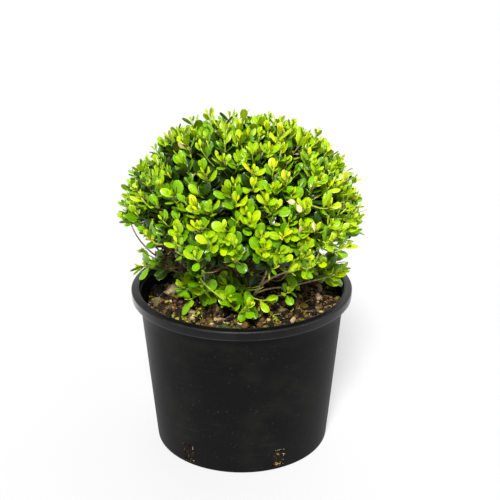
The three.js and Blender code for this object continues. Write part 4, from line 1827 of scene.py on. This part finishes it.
@dataclass
class LoneStems:
    """Longer stems with bare lower halves, low down: some arch out left, and some stand in front."""

    left: tuple = (
        Stem(((-22, 3, 200), (-64, -14, 208), (-92, -20, 228), (-112, -24, 246), (-124, -26, 262),
              (-127, -26, 284), (-128, -24, 300)), (1.2, 0.6), 4, 12 * MM),
        Stem(((-24, -6, 205), (-60, -8, 210), (-88, -10, 228), (-106, -14, 246), (-110, -16, 262),
              (-112, -16, 288)), (1.3, 0.7), 4, 13 * MM),
        Stem(((-40, -8, 214), (-78, -24, 226), (-100, -36, 240), (-112, -36, 250)), (0.9, 0.5), 2, 9 * MM),
        Stem(((-30, -4, 206), (-66, -10, 216), (-94, -16, 232), (-116, -18, 222)), (1.4, 0.8), 5, 18 * MM),
        Stem(((-50, -8, 210), (-76, -20, 216), (-90, -30, 226), (-96, -34, 236)), (1.2, 0.7), 4, 15 * MM),
    )
    front: tuple = (
        Stem(((2, -66, 182), (-4, -86, 198), (-24, -88, 222), (-44, -90, 230), (-50, -88, 240),
              (-44, -86, 252)), (1.1, 0.8), 5, 16 * MM),
        Stem(((-4, -84, 184), (-3, -92, 200), (2, -98, 206), (8, -102, 213)), (1.0, 0.7), 3, 12 * MM),
        Stem(((-24, -52, 184), (-31, -64, 200), (-38, -74, 214), (-42, -82, 223)), (1.1, 0.7), 4, 15 * MM),
        Stem(((-22, -50, 184), (-24, -66, 200), (-20, -78, 212), (-14, -90, 216)), (1.1, 0.7), 4, 14 * MM),
    )
    forked: tuple = (
        Stem(((12, -24, 186), (16, -38, 198), (21, -44, 210), (27, -48, 222), (30, -52, 236),
              (34, -56, 250)), (2.3, 0.9), 3),
        Stem(((22, -44, 211), (30, -50, 222), (42, -56, 231), (56, -62, 238), (68, -66, 243)), (1.5, 0.8), 4),
        Stem(((16, -38, 198), (30, -46, 210), (44, -52, 213), (60, -58, 214)), (1.2, 0.7), 3, 13 * MM),
        Stem(((46, -20, 196), (70, -24, 206), (92, -32, 213), (106, -38, 222)), (1.2, 0.7), 3, 16 * MM),
        Stem(((30, -30, 190), (44, -44, 198), (50, -58, 206), (52, -70, 214)), (1.1, 0.6), 3, 13 * MM),
    )

    def grow(self, stems: Sequence[Stem], first_key: float) -> tuple[Shell, Leaves]:
        """Grows some of the stems.

        Args:
            stems: the stems.
            first_key: the first one's key.

        Returns:
            The stems and their leaves.
        """
        shells, leaves = [], []
        for number, stem in enumerate(stems):
            points = [np.array([place]) * MM for place in stem.way]
            key = np.array([first_key + number])
            outward = unit(np.array([stem.outward], float))
            radii = tuple(radius * MM for radius in stem.radii)
            shoots = Shoots(points, key, outward, radii, stem.pairs, stem.leaf_length)
            shells.append(shoots.twigs(7, 16))
            leaves.append(leaf_pairs(shoots))
        return Shell.joined(shells), Leaves.joined(leaves)


class Tone(Enum):
    """The leaves' tones from the youngest and least shaded on: the least score, the colour and the slot."""

    LIME = (0.92, (0.56, 0.63, 0.003), Slot.YOUNG)
    BRIGHT = (0.70, (0.42, 0.58, 0.002), Slot.YOUNG)
    FRESH = (0.46, (0.30, 0.49, 0.001), Slot.MID)
    MEADOW = (0.25, (0.178, 0.39, 0.001), Slot.MID)
    DEEP = (0.08, (0.09, 0.235, 0.001), Slot.DARK)
    # SHADE and INNER are painted shade: darkened leaf colours for leaves deep in the crown and low on it.
    SHADE = (-0.30, (0.020, 0.056, 0.001), Slot.DARK)
    INNER = (-9.0, (0.013, 0.036, 0.001), Slot.DARK)


@dataclass
class Foliage:
    """All leaves of the plant, dealt into tones by age, spray, painted light and painted shade, and a few
    yellow or dry ones.
    """

    largest_piece: int = 2000
    sunny_side: float = 1.3
    yellow_from: float = 0.990
    dry_from: float = 0.997
    withered: tuple = ((23, 0.44), (27, 0.41), (34, 0.12), (140, 0.3), (165, 0.1), (-150, 0.45), (-120, 0.1))
    fallen: tuple = (("fallen_dry", 46, (0.40, 0.27, 0.11), Slot.DRY),
                     ("fallen_yellow", 26, (0.60, 0.52, 0.03), Slot.YOUNG),
                     ("fallen_green", 24, (0.20, 0.34, 0.02), Slot.MID))
    heaps: tuple = ((-37, 97), (-33, 89), (-41, 76), (26, 90), (132, 92), (-150, 88))
    per_heap: int = 11

    def add(self, name: str, leaves: Leaves, colour: tuple, slot: Slot,
            replaced: Sequence[str] = FOLIAGE_NODES, form: LeafForm = LeafForm()) -> None:
        """Adds leaves of one tone, in pieces that each keep under the most triangles.

        Args:
            name: the tone's name.
            leaves: the leaves.
            colour: the upper side's colour.
            slot: the record's slot, which is not used.
            replaced: the part's nodes that they stand for.
            form: the leaves' shape.
        """
        upper = LeafFinish(f"{name}_upper", colour).material()
        pale = tuple(0.75 * c + d for c, d in zip(colour, (0.055, 0.065, 0.004)))
        under = LeafFinish(f"{name}_under", pale, 0.55, 0.11, 0.5, 0.2).material()
        count = len(leaves.key)
        for number, start in enumerate(range(0, count, self.largest_piece)):
            part = leaves.chosen(np.arange(start, min(count, start + self.largest_piece)))
            add_piece(f"leaves_{name}_{number + 1}", form.shell(part), [upper, under], replaced)

    def build(self, leaves: Leaves) -> None:
        """Deals the leaves into tones and adds them.

        Args:
            leaves: all of the leaves.
        """
        leaves.tone += self.sunny_side * np.minimum(leaves.root[:, 0] - 10 * MM, 30 * MM)
        lot = chance(leaves.key, 20)
        left = lot < self.yellow_from
        dry = lot >= self.dry_from
        self.add("yellow", leaves.chosen(~left & ~dry), (0.64, 0.58, 0.02), Slot.YOUNG)
        self.add("dry", leaves.chosen(dry), (0.52, 0.37, 0.16), Slot.DRY)
        for tone in Tone:
            least, colour, slot = tone.value
            which = left & (leaves.tone >= least)
            left = left & ~which
            if np.any(which):
                form = INNER_LEAF if tone is Tone.INNER else LeafForm()
                self.add(tone.name.lower(), leaves.chosen(which), colour, slot, FOLIAGE_NODES, form)

    def add_withered(self, form: CrownForm) -> None:
        """Adds a few withered leaves, curled and pale, caught among the shoots of the crown.

        Args:
            form: the crown's outline.
        """
        key = np.arange(len(self.withered)) + Key.WITHERED
        turn, level = np.array(self.withered).T
        direction = around(turn, np.sqrt(1 - level**2), level)
        face = unit(direction + 0.5 * swayed(key, 41))
        length = (7 + 4 * chance(key, 43)) * MM
        place = form.surface(direction, (1 + 4 * chance(key, 44)) * MM)
        self.add("withered", self.lying(place, face, length, key), (0.66, 0.52, 0.30), Slot.DRY)

    def add_fallen(self, compost: Compost) -> None:
        """Adds fallen leaflets that lie about on the compost, and little heaps of clippings.

        Args:
            compost: the bed that they lie on.
        """
        for number, (name, count, colour, slot) in enumerate(self.fallen):
            key, place = compost.scattered(count, 20 + number)
            face = unit(UP + 0.6 * swayed(key, 41))
            length = (4 + 7 * chance(key, 43) ** 1.5) * MM
            self.add(name, self.lying(place, face, length, key), colour, slot, ())
        turn, reach = np.repeat(np.array(self.heaps), self.per_heap, axis=0).T
        key = np.arange(len(turn)) + Key.CLIPPINGS
        place = around(turn, reach * MM, 0.0) + 5 * MM * swayed(key, 44) * [1, 1, 0]
        place[:, 2] = compost.height(place) + 3 * MM * chance(key, 45)
        face = unit(UP + 0.8 * swayed(key, 41))
        length = (2.6 + 2.6 * chance(key, 43)) * MM
        self.add("clippings", self.lying(place, face, length, key), (0.36, 0.44, 0.012), Slot.YOUNG, ())

    def lying(self, place: np.ndarray, face: np.ndarray, length: np.ndarray, key: np.ndarray) -> Leaves:
        """Leaves that lie flat, each turned at random.

        Args:
            place: where they lie, (n, 3).
            face: which way each faces, (n, 3).
            length: their lengths.
            key: a key for each.

        Returns:
            The leaves.
        """
        along = swayed(key, 42)
        along = unit(along - face * dot(along, face))
        return Leaves(place + [0, 0, 1.6 * MM], along, face, length, length * 0.62, 0 * length, key)

# ---- Studio ----


@dataclass(frozen=True)
class Sun:
    """A soft distant light.

    It comes from a turn in degrees from the front towards +X, at degrees above the floor. The
    larger its angular size in degrees, the softer its shadows.
    """

    name: str
    turn: float
    elevation: float
    strength: float
    size: float

    def shine(self) -> None:
        """Adds the light to the scene."""
        light = bpy.data.lights.new(self.name, "SUN")
        light.energy = self.strength
        light.angle = math.radians(self.size)
        linked(self.name, light).rotation_euler = (math.radians(90 - self.elevation), 0,
                                                   math.radians(self.turn))


@dataclass
class Studio:
    """A white floor under soft light, and the camera that looks down on the pot."""

    floor_half: float = 12.0
    lights: tuple = (
        Sun("key", -6, 46, 5.45, 14),
        Sun("fill", 78, 32, 0.75, 90),
        Sun("front", 2, 14, 0.38, 50),
        Sun("rim", 170, 55, 0.9, 60),
    )
    camera_place: tuple = (0.0098, -1.1663, 0.7041)
    camera_pitch: float = 21.83
    lens: float = 77.5
    daylight: float = 0.06
    walls: float = 1.0
    ceiling: float = 0.25
    floor_glow: float = 0.50

    def floor(self) -> None:
        """Makes the floor, a faintly glowing white sheet with a fine tooth.

        What mirrors it finds it dark in front, and brighter behind on the left.
        """
        half, level = self.floor_half, -0.05 * MM
        mesh = bpy.data.meshes.new("floor")
        mesh.from_pydata([(-half, -half, level), (half, -half, level), (half, half, level),
                          (-half, half, level)], [], [(0, 1, 2, 3)])
        sheet = linked("floor", mesh)
        material, nodes, principled, _ = new_material("white_sheet", (0.8, 0.8, 0.8))
        tooth = nodes.noise(nodes.place(), 900.0, 2.0)
        x, y, _ = nodes.add("ShaderNodeSeparateXYZ", {"Vector": nodes.place()}).outputs
        front = nodes.ramp(y, -0.15, -0.5, "LINEAR")
        left = nodes.ramp(x, -0.1, -0.3, "LINEAR")
        back = nodes.ramp(y, 0.0, 0.25, "LINEAR")
        change = nodes.math("SUBTRACT", nodes.times(nodes.times(left, back), 2.4), front)
        mirrored = nodes.times(nodes.add("ShaderNodeLightPath").outputs["Is Glossy Ray"], change)
        glow = nodes.times(nodes.math("ADD", 1.0, mirrored), self.floor_glow)
        nodes.fill(principled, {
            "Base Color": (0.30, 0.30, 0.30, 1),
            "Roughness": 0.9,
            "Specular IOR Level": 0.1,
            "Normal": nodes.bump(tooth, 0.05, 0.2 * MM),
            "Emission Color": (1, 1, 1, 1),
            "Emission Strength": glow,
        })
        mesh.materials.append(material)

    def surroundings(self) -> bpy.types.World:
        """Makes the room: white where it is seen, bright to mirror, and only a little daylight.

        Returns:
            The world.
        """
        world = bpy.data.worlds.new("white_room")
        world.use_nodes = True
        nodes = Nodes(world.node_tree)
        rays = nodes.add("ShaderNodeLightPath").outputs
        seen = nodes.times(rays["Is Camera Ray"], 1 - self.daylight)
        way = nodes.add("ShaderNodeTexCoord").outputs["Generated"]
        height = nodes.add("ShaderNodeSeparateXYZ", {"Vector": way}).outputs["Z"]
        room = nodes.add("ShaderNodeMapRange", {
            "Value": height, "From Min": 0.1, "From Max": 0.7,
            "To Min": self.walls - self.daylight, "To Max": self.ceiling - self.daylight,
        }).outputs["Result"]
        mirrored = nodes.times(rays["Is Glossy Ray"], room)
        strength = nodes.math("ADD", nodes.math("ADD", seen, mirrored), self.daylight)
        nodes.fill(world.node_tree.nodes["Background"], {"Color": (1, 1, 1, 1), "Strength": strength})
        return world

    def camera(self) -> bpy.types.Object:
        """Makes the camera, which looks straight back and down by its pitch.

        Returns:
            The camera's object.
        """
        camera = bpy.data.cameras.new("camera")
        camera.lens = self.lens
        camera.sensor_width = 36.0
        holder = linked("camera", camera)
        holder.location = self.camera_place
        holder.rotation_euler = (math.radians(90 - self.camera_pitch), 0, 0)
        return holder

    def build(self) -> None:
        """Makes the floor, the lights, the white surroundings and the camera."""
        self.floor()
        for light in self.lights:
            light.shine()
        scene = bpy.context.scene
        scene.world = self.surroundings()
        scene.view_settings.view_transform = "Standard"
        scene.camera = self.camera()


def main() -> None:
    """Builds every sub-assembly in order and reports its pieces."""
    Studio().build()
    POT.build()
    Compost().build()
    Wood().build()
    crown = Crown()
    crown_wood, crown_green, crown_leaves = crown.grow()
    spray_wood, spray_green, spray_leaves = LowSprays().grow()
    lone = LoneStems()
    left_wood, left_leaves = lone.grow(lone.left, Key.LEFT_STEMS)
    front_green, front_leaves = lone.grow(lone.front, Key.FRONT_STEMS)
    fork_wood, fork_leaves = lone.grow(lone.forked, Key.FORKED_STEMS)
    old = WoodFinish("old_twig", (0.17, 0.12, 0.05), (0.38, 0.30, 0.14), 0.75, 0.8, 500.0, 0.5)
    # The forked stems' bark is light tan, made lighter still as painted light, since they stand in the
    # crown's shadow.
    tan = WoodFinish("forked_bark_painted_light", (0.72, 0.55, 0.28), (0.95, 0.80, 0.48), 0.75, 0.8, 500.0, 0.5)
    green = WoodFinish("green_shoot", (0.36, 0.46, 0.03), (0.52, 0.58, 0.07), 0.5, 0.7, 300.0, 0.3)
    for name, parts, finish, slot in (
        ("branches", [crown_wood, spray_wood, left_wood], old, Slot.BARK),
        ("forked_stems", [fork_wood], tan, Slot.BARK),
        ("shoots", [crown_green, spray_green, front_green], green, Slot.TWIG),
    ):
        add_piece(name, Shell.joined(parts), [finish.material()], FOLIAGE_NODES)
    foliage = Foliage()
    dense = crown.opened(Leaves.joined([crown_leaves, spray_leaves]))
    foliage.build(Leaves.joined([dense, left_leaves, front_leaves, fork_leaves]))
    foliage.add("dead", leaf_pairs(crown.dead_twigs()), (0.10, 0.062, 0.022), Slot.DRY)
    foliage.add_withered(CrownForm())
    foliage.add_fallen(Compost())


if __name__ == "__main__":
    main()
